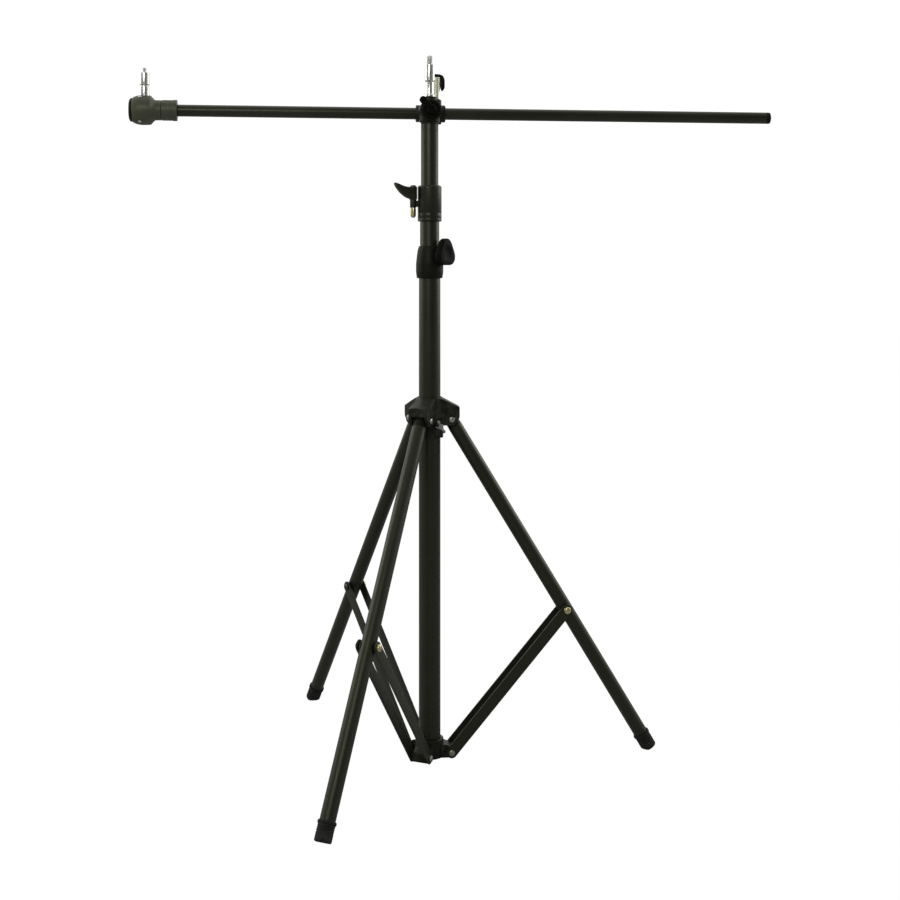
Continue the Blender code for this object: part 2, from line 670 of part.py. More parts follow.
def build_head(mats):
    tilt = along_tilt()
    neck = rod(HEAD_NECK_D / 2, HEAD_LOW, BOOM_HEIGHT, MAST_SIDES)
    top = rod(HEAD_TOP_D / 2, BOOM_HEIGHT, HEAD_TOP, BODY_SIDES)
    round_body = rod(HEAD_D / 2, -HEAD_FRONT, HEAD_BACK, MAST_SIDES, tilt)
    pin_hole = rod(TILT_PIN_D / 2 + GAP, -HEAD_D, HEAD_D, ROD_SIDES, tilt)
    pan_hole = rod(PAN_BOLT_D / 2 + GAP, HEAD_LOW - HEAD_THREAD, HEAD_LOW + HEAD_THREAD + GAP)
    stud_hole = rod(
        PAN_BOLT_D / 2 + GAP, HEAD_TOP - HEAD_THREAD - GAP, HEAD_TOP + HEAD_THREAD, BODY_SIDES
    )
    shape("head_body", mats["cast"], round_body, [neck, top], [pin_hole, pan_hole, stud_hole])

    bolt_r = PAN_BOLT_D / 2
    head_r = PAN_BOLT_HEAD_D / 2
    head_top = UPPER_TOP - PLUG_DEPTH - GAP
    head_low = head_top - bolt_r
    bolt_top = HEAD_LOW + HEAD_THREAD
    profile = [
        (0, head_low),
        (head_r, head_low),
        (head_r, head_top),
        (bolt_r, head_top),
        (bolt_r, bolt_top),
        (0, bolt_top),
    ]
    make_object("pan_bolt", turned(profile, ROD_SIDES), mats["steel"])


def build_mast_spigot(mats):
    radius = SPIGOT_D / 2
    waist_r = MAST_SPIGOT_WAIST_D / 2
    tip_r = MAST_SPIGOT_TIP_D / 2
    stud_r = PAN_BOLT_D / 2
    low = HEAD_TOP + GAP
    shoulder = low + MAST_SPIGOT_LENGTH
    tip = shoulder + MAST_SPIGOT_TIP
    waist_low = low + MAST_SPIGOT_WAIST[0]
    waist_top = low + MAST_SPIGOT_WAIST[1]
    profile = [
        (0, HEAD_TOP - HEAD_THREAD),
        (stud_r, HEAD_TOP - HEAD_THREAD),
        (stud_r, low),
        (radius, low),
        (radius, waist_low),
        (waist_r, waist_low + SPIGOT_CHAMFER),
        (waist_r, waist_top - SPIGOT_CHAMFER),
        (radius, waist_top),
        (radius, shoulder - SPIGOT_CHAMFER),
        (radius - SPIGOT_CHAMFER, shoulder),
        (tip_r, shoulder),
        (tip_r, tip - SPIGOT_CHAMFER),
        (tip_r - SPIGOT_CHAMFER, tip),
        (0, tip),
    ]
    make_object("mast_spigot", turned(profile, BODY_SIDES), mats["chrome"])


def build_clamp_screw(mats):
    place = Matrix.Translation((CLAMP_BOSS_OFFSET, BOOM_SETBACK, BOOM_HEIGHT))
    low = CLAMP_BOSS_TOP + GAP
    top = low + BOOM_SCREW_LENGTH
    origin = place @ Vector((0, 0, low))
    stud_r = BOOM_STUD_D / 2
    radius = BOOM_SCREW_D / 2
    stud_low = BOOM_R + GAP
    profile = [(0, stud_low), (stud_r, stud_low), (stud_r, low), (radius - SPIGOT_CHAMFER, low)]
    profile += [(radius, low + SPIGOT_CHAMFER), (radius, top), (0, top)]
    make_object("clamp_screw", turned(profile, BODY_SIDES, place), mats["chrome"], origin)

    cap_low = top + GAP
    cap_top = cap_low + BOOM_WING_CAP
    skirt = radius + GAP
    wing_low = cap_top - BOOM_WING_HEIGHT
    outline = [
        (0, cap_low),
        (skirt, cap_low),
        (skirt, wing_low + BOOM_WING_HEIGHT * 0.25),
        (skirt + (BOOM_WING_REACH - skirt) * 0.4, wing_low),
        (BOOM_WING_REACH, wing_low + BOOM_WING_HEIGHT * 0.2),
        (BOOM_WING_REACH, wing_low + BOOM_WING_HEIGHT * 0.7),
        (BOOM_WING_REACH * 0.8, wing_low + BOOM_WING_HEIGHT * 0.92),
        (radius * 0.8, cap_top),
        (0, cap_top),
    ]
    upright = place @ Matrix.Rotation(math.pi / 2, 4, "X")
    wing = prism(outline, -BOOM_WING_THICKNESS / 2, BOOM_WING_THICKNESS / 2, upright)
    inset = BOOM_WING_CAP * 0.04
    cap = rod(radius * 0.85, cap_low + inset, cap_top - inset, ROD_SIDES, place)
    shape("clamp_screw_wing", mats["plastic"], wing, [cap], origin=origin)


def build_boom_clamp(mats):
    boom = along_boom()
    tilt = along_tilt()
    origin = (0, BOOM_SETBACK, BOOM_HEIGHT)
    ring = rod(CLAMP_D / 2, CLAMP_LEFT, CLAMP_RIGHT, BODY_SIDES, boom)
    seat = HEAD_BACK + GAP
    pad = rod(CLAMP_PAD_D / 2, seat, BOOM_SETBACK - GAP, BODY_SIDES, tilt)
    pin_r = TILT_PIN_D / 2
    stud_r = TILT_STUD_D / 2
    shoulder = -(HEAD_FRONT + GAP)
    end = shoulder - TILT_STUD_LENGTH
    inside = BOOM_SETBACK - BOOM_R
    pin = turned(
        [
            (0, end),
            (stud_r, end),
            (stud_r, shoulder),
            (pin_r, shoulder),
            (pin_r, inside),
            (0, inside),
        ],
        ROD_SIDES,
        tilt,
    )
    bore = rod(BOOM_R + GAP, CLAMP_LEFT - CLAMP_D, CLAMP_RIGHT + CLAMP_D, BODY_SIDES, boom)
    upright = Matrix.Translation((CLAMP_BOSS_OFFSET, BOOM_SETBACK, BOOM_HEIGHT))
    boss = rod(CLAMP_BOSS_D / 2, CLAMP_BOSS_LOW, CLAMP_BOSS_TOP, BODY_SIDES, upright)
    screw_hole = rod(BOOM_STUD_D / 2 + GAP, BOOM_R / 2, CLAMP_BOSS_TOP + CLAMP_D, HOLE_SIDES, upright)
    shape("boom_clamp", mats["cast"], ring, [pad, pin, boss], [bore, screw_hole], origin)


def build_tilt_knob(mats):
    tilt = along_tilt()
    back = -(HEAD_FRONT + 2 * GAP)
    front = back - TILT_KNOB_THICKNESS
    origin = tilt @ Vector((0, 0, back))
    radius = TILT_KNOB_D / 2
    rim = TILT_KNOB_THICKNESS * 0.25
    profile = [
        (0, front),
        (radius - rim, front),
        (radius, front + rim),
        (radius, back - rim / 2),
        (radius - rim, back),
        (0, back),
    ]
    disc = turned(profile, MAST_SIDES, tilt)
    bar_place = tilt @ Matrix.Rotation(TILT_WING_ANGLE, 4, "Z")
    side = TILT_WING_WIDTH / 2
    tail = radius * 0.7
    outline = [(tail, -side * 0.4), (tail, side * 0.4), (0, side * 0.8)]
    outline += arc((side - TILT_WING_REACH, 0), side, 90, 270)
    outline += [(0, -side * 0.8)]
    bar = prism(outline, front - TILT_WING_RISE, front + rim, bar_place)
    hole = rod(TILT_STUD_D / 2 + GAP, back + rim, back - TILT_STUD_LENGTH, HOLE_SIDES, tilt)
    shape("tilt_knob", mats["plastic"], disc, [bar], [hole], origin)


def build_boom(mats):
    boom = along_boom()
    origin = (0, BOOM_SETBACK, BOOM_HEIGHT)
    bore = BOOM_R - BOOM_WALL
    make_object(
        "boom_tube", pipe(bore, BOOM_R, BOOM_LEFT, BOOM_RIGHT, BODY_SIDES, boom), mats["tube"], origin
    )
    low = BOOM_RIGHT + GAP
    end = low + BOOM_CAP
    plug = bore - GAP
    rim = BOOM_CAP * 0.3
    profile = [(0, BOOM_RIGHT - PLUG_DEPTH), (plug, BOOM_RIGHT - PLUG_DEPTH), (plug, low), (BOOM_R, low)]
    profile += [(BOOM_R, end - rim), (BOOM_R - rim, end), (0, end)]
    make_object("boom_end_cap", turned(profile, BODY_SIDES, boom), mats["plastic"], origin)


def build_boom_head(mats):
    boom = along_boom()
    face = BOOM_LEFT + BOOM_SOCKET
    origin = (face, BOOM_SETBACK, BOOM_HEIGHT)
    neck_r = BOOM_HEAD_NECK_D / 2
    body_r = BOOM_HEAD_D / 2
    neck = face - BOOM_HEAD_NECK
    thick = neck - BOOM_HEAD_SHOULDER
    end = thick - BOOM_HEAD_BODY
    cap_r = BOOM_HEAD_CAP_D / 2
    profile = [
        (0, end),
        (cap_r, end),
        (cap_r + (body_r - cap_r) * 0.7, end + BOOM_HEAD_BODY * 0.25),
        (body_r, end + BOOM_HEAD_BODY * 0.5),
        (body_r - 0.0006, thick),
        (neck_r + 0.0012, neck),
        (neck_r, face - 0.0010),
        (neck_r - 0.0010, face),
        (0, face),
    ]
    body = turned(profile, MAST_SIDES, boom)
    socket = rod(BOOM_R + GAP, BOOM_LEFT - GAP, face + BOOM_D, BODY_SIDES, boom)
    spigot_x = face - BOOM_SPIGOT_FROM_FACE
    upright = Matrix.Translation((spigot_x, BOOM_SETBACK, BOOM_HEIGHT))
    spigot_hole = rod(SPIGOT_D / 2 + GAP, BOOM_SPIGOT_SEAT - GAP, BOOM_HEAD_D, BODY_SIDES, upright)
    holes = []
    screw_x = face - CAP_SCREW_SETBACK
    seat = body_r
    for end_name, side in (("top", 1), ("low", -1)):
        lean = Matrix.Rotation(math.pi / 2 - side * (math.pi / 2 - HEAD_SCREW_ANGLE), 4, "X")
        place = Matrix.Translation((screw_x, BOOM_SETBACK, BOOM_HEIGHT)) @ lean
        shank = CAP_SCREW_SHANK_D / 2
        head = CAP_SCREW_D / 2
        low = seat - CAP_SCREW_DEPTH
        top = seat + CAP_SCREW_D * 0.2
        profile = [
            (0, low),
            (shank, low),
            (shank, seat + GAP),
            (head, seat + GAP),
            (head * 0.9, top),
            (0, top + head * 0.1),
        ]
        make_object(
            f"boom_head_screw_{end_name}", turned(profile, HOLE_SIDES, place), mats["chrome"], origin
        )
        holes.append(rod(shank + GAP, low - GAP, seat + head, HOLE_SIDES, place))
        holes.append(rod(head + GAP, seat - GAP, seat + head, HOLE_SIDES, place))
    shape("boom_head_body", mats["cast"], body, cut=[socket, spigot_hole] + holes, origin=origin)

    cap_end = end - GAP - BOOM_HEAD_CAP
    profile = [
        (0, cap_end),
        (cap_r * 0.78, cap_end),
        (cap_r * 0.94, cap_end + BOOM_HEAD_CAP * 0.35),
        (cap_r, end - GAP),
        (0, end - GAP),
    ]
    make_object("boom_head_cap", turned(profile, MAST_SIDES, boom), mats["plastic"], origin)

    radius = SPIGOT_D / 2
    tip_r = BOOM_SPIGOT_TIP_D / 2
    groove_r = BOOM_SPIGOT_GROOVE_D / 2
    groove_low, groove_top = BOOM_SPIGOT_GROOVE
    tip = BOOM_SPIGOT_TOP + BOOM_SPIGOT_TIP
    profile = [
        (0, BOOM_SPIGOT_SEAT),
        (radius, BOOM_SPIGOT_SEAT),
        (radius, groove_low),
        (groove_r, groove_low + SPIGOT_CHAMFER),
        (groove_r, groove_top - SPIGOT_CHAMFER),
        (radius, groove_top),
        (radius, BOOM_SPIGOT_TOP - SPIGOT_CHAMFER),
        (radius - SPIGOT_CHAMFER, BOOM_SPIGOT_TOP),
        (tip_r, BOOM_SPIGOT_TOP),
        (tip_r, tip - SPIGOT_CHAMFER),
        (tip_r - SPIGOT_CHAMFER, tip),
        (0, tip),
    ]
    make_object("boom_spigot", turned(profile, BODY_SIDES, upright), mats["chrome"], origin)


def build_boom_ring(mats):
    boom = along_boom()
    low = BOOM_LEFT + BOOM_SOCKET + GAP
    high = low + RING_LENGTH
    radius = RING_D / 2
    flange = RING_FLANGE_D / 2
    bore = BOOM_R + GAP
    lip = high - RING_FLANGE
    chamfer = RING_FLANGE * 0.15
    profile = [
        (bore, low),
        (radius - chamfer, low),
        (radius, low + chamfer),
        (radius, lip - chamfer),
        (flange, lip),
        (flange, high - chamfer),
        (flange - chamfer, high),
        (bore, high),
    ]
    make_object(
        "boom_ring", turned(profile, MAST_SIDES, boom), mats["cast"], (low, BOOM_SETBACK, BOOM_HEIGHT)
    )


def roof_height(radius):
    """Height of the leg collar's sloping top at a distance from the mast's axis."""
    slope = LEG_COLLAR_RIM_DROP / (LOBE_REACH - LEG_COLLAR_BORE_R)
    return LEG_COLLAR_TOP - slope * (radius - LEG_COLLAR_BORE_R)


def build_leg_collar(mats):
    above = LEG_COLLAR_TOP + LEG_D
    ring = rod(LEG_COLLAR_R, LEG_COLLAR_LOW, above, MAST_SIDES)
    lobes = []
    cuts = []
    lobe_low = LEG_PIVOT_HEIGHT - LOBE_LOW
    pocket_r = LEG_R + LEG_SIDE_GAP
    inner = COLUMN_R / 2
    pivot = (FOLD_RADIUS, LEG_PIVOT_HEIGHT)
    for azimuth in AZIMUTHS.values():
        plane = upright_plane(azimuth)
        outline = [(inner, lobe_low)]
        outline += arc(pivot, LOBE_LOW, -90, -10)
        outline += [(LOBE_REACH, LEG_PIVOT_HEIGHT + LOBE_EDGE), (LOBE_REACH, above), (inner, above)]
        lobes.append(prism(outline, -LOBE_HALF, LOBE_HALF, plane))
        pocket = [(FOLD_RADIUS - pocket_r, lobe_low - LEG_D), (LOBE_REACH + LEG_D, lobe_low - LEG_D)]
        brow = arc(pivot, pocket_r, BROW_ANGLE, 180)
        pocket += [(LOBE_REACH + LEG_D, brow[0][1])] + brow
        cuts.append(prism(pocket, -FORK_HALF, FORK_HALF, plane))
        across = across_plane(azimuth, *pivot)
        cuts.append(rod(LEG_BOLT_D / 2 + GAP, -LOBE_REACH, LOBE_REACH, HOLE_SIDES, across))
    out = outward(WING_AZIMUTH, WING_HEIGHT)
    boss = rod(WING_BOSS_D / 2, COLUMN_R / 2, WING_BOSS_REACH, ROD_SIDES, out)
    wide = LOBE_REACH * 1.5
    roof = turned(
        [(0, above * 1.1), (wide, above * 1.1), (wide, roof_height(wide)), (0, roof_height(0))],
        MAST_SIDES,
    )
    bore = rod(LEG_COLLAR_BORE_R, LEG_COLLAR_LOW - LEG_D, above + LEG_D, MAST_SIDES)
    screw_hole = rod(WING_SCREW_D / 2 + GAP, COLUMN_R / 2, WING_BOSS_REACH + LEG_D, HOLE_SIDES, out)
    origin = (0, 0, LEG_COLLAR_LOW)
    shape("leg_collar", mats["cast"], ring, lobes + [boss], [roof, bore, screw_hole] + cuts, origin)

    liner = pipe(LINER_BORE_R, LEG_COLLAR_BORE_R - GAP, LEG_COLLAR_LOW, LEG_COLLAR_TOP - LEG_LINER)
    liner_hole = rod(WING_SCREW_D / 2 + GAP, COLUMN_R / 2, WING_BOSS_REACH + LEG_D, HOLE_SIDES, out)
    shape("leg_collar_liner", mats["liner"], liner, cut=[liner_hole], origin=origin)

    shank = LEG_BOLT_D / 2
    head = LEG_BOLT_HEAD_D / 2
    seat = LOBE_HALF + GAP
    end = seat + LEG_BOLT_HEAD
    profile = [
        (0, -end),
        (head, -end),
        (head, -seat),
        (shank, -seat),
        (shank, seat),
        (head, seat),
        (head, end),
        (0, end),
    ]
    for key, azimuth in AZIMUTHS.items():
        bolt = turned(profile, HOLE_SIDES, across_plane(azimuth, *pivot))
        make_object(f"leg_pivot_bolt_{key}", bolt, mats["chrome"], origin)


def build_leg_lock(mats):
    """Wing screw that locks the leg collar on the column, cast in one piece."""
    out = outward(WING_AZIMUTH, WING_HEIGHT)
    hub_low = WING_BOSS_REACH + GAP
    hub_top = hub_low + WING_HUB
    origin = out @ Vector((0, 0, hub_low))
    shank = WING_SCREW_D / 2
    hub = WING_HUB_D / 2
    tip = COLUMN_R + GAP
    profile = [
        (0, tip),
        (shank, tip),
        (shank, hub_low),
        (hub, hub_low),
        (hub * 0.8, hub_top),
        (0, hub_top),
    ]
    screw = turned(profile, ROD_SIDES, out)
    half = WING_SPAN / 2
    low = hub_low + WING_HUB * 0.2
    top = low + WING_DEPTH
    outline = [
        (-hub * 0.4, low),
        (hub * 0.4, low),
        (half * 0.9, low + WING_DEPTH * 0.35),
        (half, low + WING_DEPTH * 0.75),
        (half * 0.85, top),
        (half * 0.6, top),
        (hub * 0.4, low + WING_DEPTH * 0.6),
        (-hub * 0.4, low + WING_DEPTH * 0.6),
        (-half * 0.6, top),
        (-half * 0.85, top),
        (-half, low + WING_DEPTH * 0.75),
        (-half * 0.9, low + WING_DEPTH * 0.35),
    ]
    flat = out @ Matrix.Rotation(math.radians(35), 4, "Z") @ Matrix.Rotation(math.pi / 2, 4, "X")
    wings = prism(outline, -WING_THICKNESS / 2, WING_THICKNESS / 2, flat)
    shape("leg_lock_wing", mats["steel"], screw, [wings], origin=origin)


def build_leg(key, mats):
    azimuth = AZIMUTHS[key]
    down = down_leg(azimuth)
    origin = world_point(azimuth, FOLD_RADIUS, LEG_PIVOT_HEIGHT)
    across = across_plane(azimuth, FOLD_RADIUS, LEG_PIVOT_HEIGHT)
    bore = LEG_R - LEG_WALL
    tube_end = LEG_LENGTH - LEG_END

    tube = pipe(bore, LEG_R, KNUCKLE, tube_end, BODY_SIDES, down)
    bolt_hole = rod(BRACE_HOLE_D / 2, -LEG_D, LEG_D, HOLE_SIDES, across_plane(azimuth, *BRACE_TOP))
    shape(f"leg_{key}_tube", mats["tube"], tube, cut=[bolt_hole], origin=origin)

    knuckle_r = LEG_R - GAP
    plug_r = bore - GAP
    tip = KNUCKLE - GAP
    profile = arc((0, 0), knuckle_r, -90, 0)
    profile += [
        (knuckle_r, tip),
        (plug_r, tip),
        (plug_r, KNUCKLE + KNUCKLE_PLUG),
        (0, KNUCKLE + KNUCKLE_PLUG),
    ]
    profile[0] = (0, -knuckle_r)
    pivot_hole = rod(LEG_BOLT_D / 2 + GAP, -LEG_D, LEG_D, HOLE_SIDES, across)
    shape(
        f"leg_{key}_knuckle",
        mats["plastic"],
        turned(profile, BODY_SIDES, down),
        cut=[pivot_hole],
        origin=origin,
    )

    foot_r = LEG_FOOT_D / 2
    foot_top = tube_end - LEG_FOOT_LENGTH + LEG_END
    foot_inner = LEG_R + GAP
    foot_rim_r = LEG_FOOT_RIM_D / 2
    foot_end = (LEG_PIVOT_HEIGHT + LEG_FOOT_DIP - foot_r * math.sin(LEG_ANGLE)) / math.cos(LEG_ANGLE)
    floor = tube_end + GAP
    profile = [(0, floor), (foot_inner, floor), (foot_inner, foot_top), (foot_rim_r, foot_top)]
    profile += [
        (foot_rim_r, foot_top + LEG_FOOT_RIM),
        (foot_r, foot_top + LEG_FOOT_RIM),
        (foot_r, foot_end),
    ]
    profile += [(0, foot_end)]
    foot = turned(profile, BODY_SIDES, down)
    everything = foot.verts[:] + foot.edges[:] + foot.faces[:]
    cut = bmesh.ops.bisect_plane(
        foot, geom=everything, plane_co=(0, 0, 0), plane_no=(0, 0, 1), clear_inner=True
    )
    rim = [item for item in cut["geom_cut"] if isinstance(item, bmesh.types.BMEdge)]
    bmesh.ops.contextual_create(foot, geom=rim)
    make_object(f"leg_{key}_foot", foot, mats["rubber"], origin)


def build_brace(key, mats):
    azimuth = AZIMUTHS[key]
    origin = world_point(azimuth, FOLD_RADIUS, HUB_PIVOT_HEIGHT)
    run = BRACE_TOP[0] - FOLD_RADIUS
    rise = BRACE_TOP[1] - HUB_PIVOT_HEIGHT
    length = math.hypot(run, rise)
    lean = math.atan2(rise, run)
    plane = upright_plane(azimuth) @ Matrix.Translation((FOLD_RADIUS, HUB_PIVOT_HEIGHT, 0))
    plane = plane @ Matrix.Rotation(lean, 4, "Z")
    radius = BRACE_WIDTH / 2
    outline = arc((0, 0), radius, 90, 270) + arc((length, 0), radius, -90, 90)
    side = NUT_SIDES[key]
    for number, facing in ((1, side), (2, -side)):
        near, far = sorted((facing * BRACE_INNER, facing * BRACE_OUTER))
        holes = []
        for place in ((FOLD_RADIUS, HUB_PIVOT_HEIGHT), BRACE_TOP):
            holes.append(rod(BRACE_HOLE_D / 2, -LEG_D, LEG_D, HOLE_SIDES, across_plane(azimuth, *place)))
        shape(
            f"brace_{key}_strip_{number}",
            mats["tube"],
            prism(outline, near, far, plane),
            cut=holes,
            origin=origin,
        )

    facing = across_plane(azimuth, *BRACE_TOP)
    if side > 0:
        facing = facing @ Matrix.Rotation(math.pi, 4, "X")
    stub = BRACE_HOLE_D / 2 - GAP
    seat = BRACE_OUTER + GAP
    stub_end = BRACE_INNER + GAP
    nut_r = BRACE_NUT_D / 2
    nut_end = seat + BRACE_NUT
    profile = [(0, stub_end), (stub, stub_end), (stub, seat), (nut_r, seat), (nut_r, nut_end - stub / 2)]
    profile += [(nut_r * 0.7, nut_end), (0, nut_end)]
    make_object(f"brace_{key}_nut", turned(profile, HOLE_SIDES, facing), mats["brass"], origin)

    facing = facing @ Matrix.Rotation(math.pi, 4, "X")
    head_r = BRACE_HEAD_D / 2
    head_end = seat + BRACE_HEAD
    profile = [
        (0, stub_end),
        (stub, stub_end),
        (stub, seat),
        (head_r, seat),
        (head_r, head_end - stub / 2),
    ]
    profile += [(head_r * 0.7, head_end), (0, head_end)]
    make_object(f"brace_{key}_bolt", turned(profile, HOLE_SIDES, facing), mats["steel"], origin)


def main():
    clear_scene()
    mats = make_materials()
    build_column(mats)
    build_bottom_hub(mats)
    build_hub_bolts(mats)
    build_lower_collar(mats)
    build_lower_knob(mats)
    build_middle_tube(mats)
    build_upper_collar(mats)
    build_lever(mats)
    build_upper_tube(mats)
    build_head(mats)
    build_mast_spigot(mats)
    build_clamp_screw(mats)
    build_boom_clamp(mats)
    build_tilt_knob(mats)
    build_boom(mats)
    build_boom_head(mats)
    build_boom_ring(mats)
    build_leg_collar(mats)
    build_leg_lock(mats)
    for key in AZIMUTHS:
        build_leg(key, mats)
        build_brace(key, mats)


main()
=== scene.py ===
# %% [markdown]
# # A convertible boom light stand, dressed for its picture
# The real stand is a three-section mast on a folding tripod. A boom slides through a clamp beside
# the mast's head. Every size comes from the solid model, so each fine piece below is built in
# the same frame and stands for the plain solid of the same name.

# %% Load the solid model and keep its box
import math

import bmesh
import bpy
from mathutils import Matrix, Vector


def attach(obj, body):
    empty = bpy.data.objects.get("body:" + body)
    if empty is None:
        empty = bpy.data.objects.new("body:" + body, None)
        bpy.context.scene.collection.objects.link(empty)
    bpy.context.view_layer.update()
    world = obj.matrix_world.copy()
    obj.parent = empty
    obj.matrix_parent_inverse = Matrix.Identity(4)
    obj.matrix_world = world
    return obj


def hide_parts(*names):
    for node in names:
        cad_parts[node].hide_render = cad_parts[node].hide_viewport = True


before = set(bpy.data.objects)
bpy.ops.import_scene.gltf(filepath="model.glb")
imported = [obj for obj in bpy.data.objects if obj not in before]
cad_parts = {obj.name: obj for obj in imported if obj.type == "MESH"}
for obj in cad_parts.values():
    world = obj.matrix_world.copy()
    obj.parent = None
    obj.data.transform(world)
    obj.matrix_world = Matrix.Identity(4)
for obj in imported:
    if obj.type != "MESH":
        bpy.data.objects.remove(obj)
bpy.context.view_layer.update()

# %% [markdown]
# ## Sizes
# These are the sizes of the real stand, in metres: the mast's axis is the Z axis, the boom lies
# along X behind it, and leg "b" points along X too.

# %% Named sizes
GAP = 0.0003
COLUMN_R, COLUMN_WALL = 0.0175, 0.0014
TUBE_WALL, TUBE_GAP, TUBE_LENGTH = 0.0011, 0.0004, 0.750
MIDDLE_R = COLUMN_R - COLUMN_WALL - TUBE_GAP
UPPER_R = MIDDLE_R - TUBE_WALL - TUBE_GAP
COLUMN_TOP, UPPER_TOP = 0.800, 1.023
LOWER_COLLAR = (0.774, 0.826)
UPPER_COLLAR = (0.866, 0.9242)
SEAT_TOP = 0.900
HEAD_LOW, HEAD_TOP = 1.0263, 1.067
BOOM_Y, BOOM_Z, BOOM_R = 0.034, 1.0444, 0.0096
BOOM_LEFT, BOOM_RIGHT = -0.4445, 0.5752
HEAD_FACE = BOOM_LEFT + 0.014
FOLD_R, LEG_PIVOT, HUB_PIVOT = 0.0342, 0.5463, 0.0095
LEG_R, LEG_TILT, LEG_TO_BRACE = 0.0115, math.radians(31.2), 0.365
LEG_LENGTH = LEG_PIVOT / math.cos(LEG_TILT)
LEG_TUBE_END = LEG_LENGTH - 0.013
BRACE_TOP = (FOLD_R + LEG_TO_BRACE * math.sin(LEG_TILT), LEG_PIVOT - LEG_TO_BRACE * math.cos(LEG_TILT))
STRIP_IN, STRIP_OUT = 0.01375, 0.01625
AZIMUTHS = {"a": math.radians(-120), "b": 0.0, "c": math.radians(120)}
NUT_SIDES = {"a": -1, "b": 1, "c": 1}
SCREW_R, BOLT_R, SPIGOT_R = 0.0030, 0.0025, 0.0080
SCREW_WAY, BOLT_WAY = SCREW_R + GAP, BOLT_R + GAP
print("mast tube diameters in mm:", [round(2000 * r, 1) for r in (COLUMN_R, MIDDLE_R, UPPER_R)])

# %% [markdown]
# ## Placing things
# A turned piece is drawn around its own Z axis and then laid along the mast, the boom, the tilt
# pin or a leg by one matrix.

# %% Places
def shift(x, y, z):
    return Matrix.Translation((x, y, z))


def about(axis, angle):
    return Matrix.Rotation(angle, 4, axis)


def spin(angle):
    return about("Z", angle)


def plane_of(azimuth):
    """Local X outward, local Y up, local Z across."""
    return spin(azimuth) @ about("X", math.pi / 2)


def across(azimuth, radius, height):
    return spin(azimuth) @ shift(radius, 0, height) @ about("X", -math.pi / 2)


def outward(azimuth, height):
    return spin(azimuth) @ shift(0, 0, height) @ about("Y", math.pi / 2)


def down_leg(azimuth):
    return spin(azimuth) @ shift(FOLD_R, 0, LEG_PIVOT) @ about("Y", math.pi - LEG_TILT)


MAST = Matrix.Identity(4)
BOOM = shift(0, BOOM_Y, BOOM_Z) @ about("Y", math.pi / 2)
TILT = shift(0, 0, BOOM_Z) @ about("X", -math.pi / 2)
print("places ready")

# %% [markdown]
# ## Drawing outlines
# Real edges are never sharp. `fillet` rounds an outline's corners before it is turned or
# extruded, which is what catches the light along every rim.

# %% Outlines
def fillet(points, radius, steps=4, keep_axis=True):
    """Round each corner of a closed outline; corners on the axis stay where they are."""
    rounded = []
    count = len(points)
    for i, corner in enumerate(points):
        here = Vector(corner)
        before, after = Vector(points[i - 1]), Vector(points[(i + 1) % count])
        if keep_axis and here.x <= 1e-9:
            rounded.append(tuple(here))
            continue
        reach = min(radius, (before - here).length * 0.45, (after - here).length * 0.45)
        first = here + (before - here).normalized() * reach
        last = here + (after - here).normalized() * reach
        for step in range(steps + 1):
            t = step / steps
            rounded.append(tuple(first * (1 - t) ** 2 + here * 2 * t * (1 - t) + last * t * t))
    return rounded


def polar(radius, angle, *height):
    """A point at an angle round the axis, with its height if one is given."""
    return (radius * math.cos(angle), radius * math.sin(angle), *height)


def arc(centre, radius, start, end, steps):
    points = []
    for step in range(steps + 1):
        angle = math.radians(start + (end - start) * step / steps)
        points.append((centre[0] + radius * math.cos(angle), centre[1] + radius * math.sin(angle)))
    return points


def plate(left, right, half):
    """Outline of a plain rectangle, as wide above its middle line as below."""
    return [(left, -half), (right, -half), (right, half), (left, half)]


print("a square corner becomes", len(fillet([(0, 0), (1, 0), (1, 1), (0, 1)], 0.1)), "points")

# %% [markdown]
# ## Solids
# `turned` makes a body of revolution, `slab` an extruded plate with rounded rims, and `threaded`
# a screw whose ridge really climbs round it.

# %% Turned bodies, slabs and threads
def turned(profile, sides=72, place=MAST):
    solid = bmesh.new()
    rings = []
    for radius, height in profile:
        count = sides if radius > 1e-9 else 1
        angles = [math.tau * (step + 0.5) / sides for step in range(count)]
        rings.append([solid.verts.new(polar(radius, a, height)) for a in angles])
    for ring, following in zip(rings, rings[1:] + rings[:1]):
        for step in range(sides):
            nxt = step + 1
            corners = [ring[step % len(ring)], ring[nxt % len(ring)]]
            corners += [following[nxt % len(following)], following[step % len(following)]]
            corners = list(dict.fromkeys(corners))
            if len(corners) > 2:
                solid.faces.new(corners)
    solid.transform(place)
    return solid


def rod(radius, low, high, sides=64, place=MAST, soft=0.0):
    profile = [(0, low), (radius, low), (radius, high), (0, high)]
    return turned(fillet(profile, soft) if soft else profile, sides, place)


def pipe(bore, radius, low, high, sides=96, place=MAST, soft=0.0004):
    return turned(fillet([(bore, low), (radius, low), (radius, high), (bore, high)], soft), sides, place)


def slab(outline, low, high, place=MAST, soft=0.0):
    solid = bmesh.new()
    base = solid.faces.new([solid.verts.new((x, y, low)) for x, y in outline])
    raised = bmesh.ops.extrude_face_region(solid, geom=[base])
    tops = [item for item in raised["geom"] if isinstance(item, bmesh.types.BMVert)]
    bmesh.ops.translate(solid, verts=tops, vec=(0, 0, high - low))
    if soft:
        rims = [e for e in solid.edges if abs(e.verts[0].co.z - e.verts[1].co.z) < 1e-7]
        bmesh.ops.bevel(
            solid, geom=rims, offset=soft, segments=3, profile=0.5, affect="EDGES", clamp_overlap=True)
    solid.transform(place)
    return solid


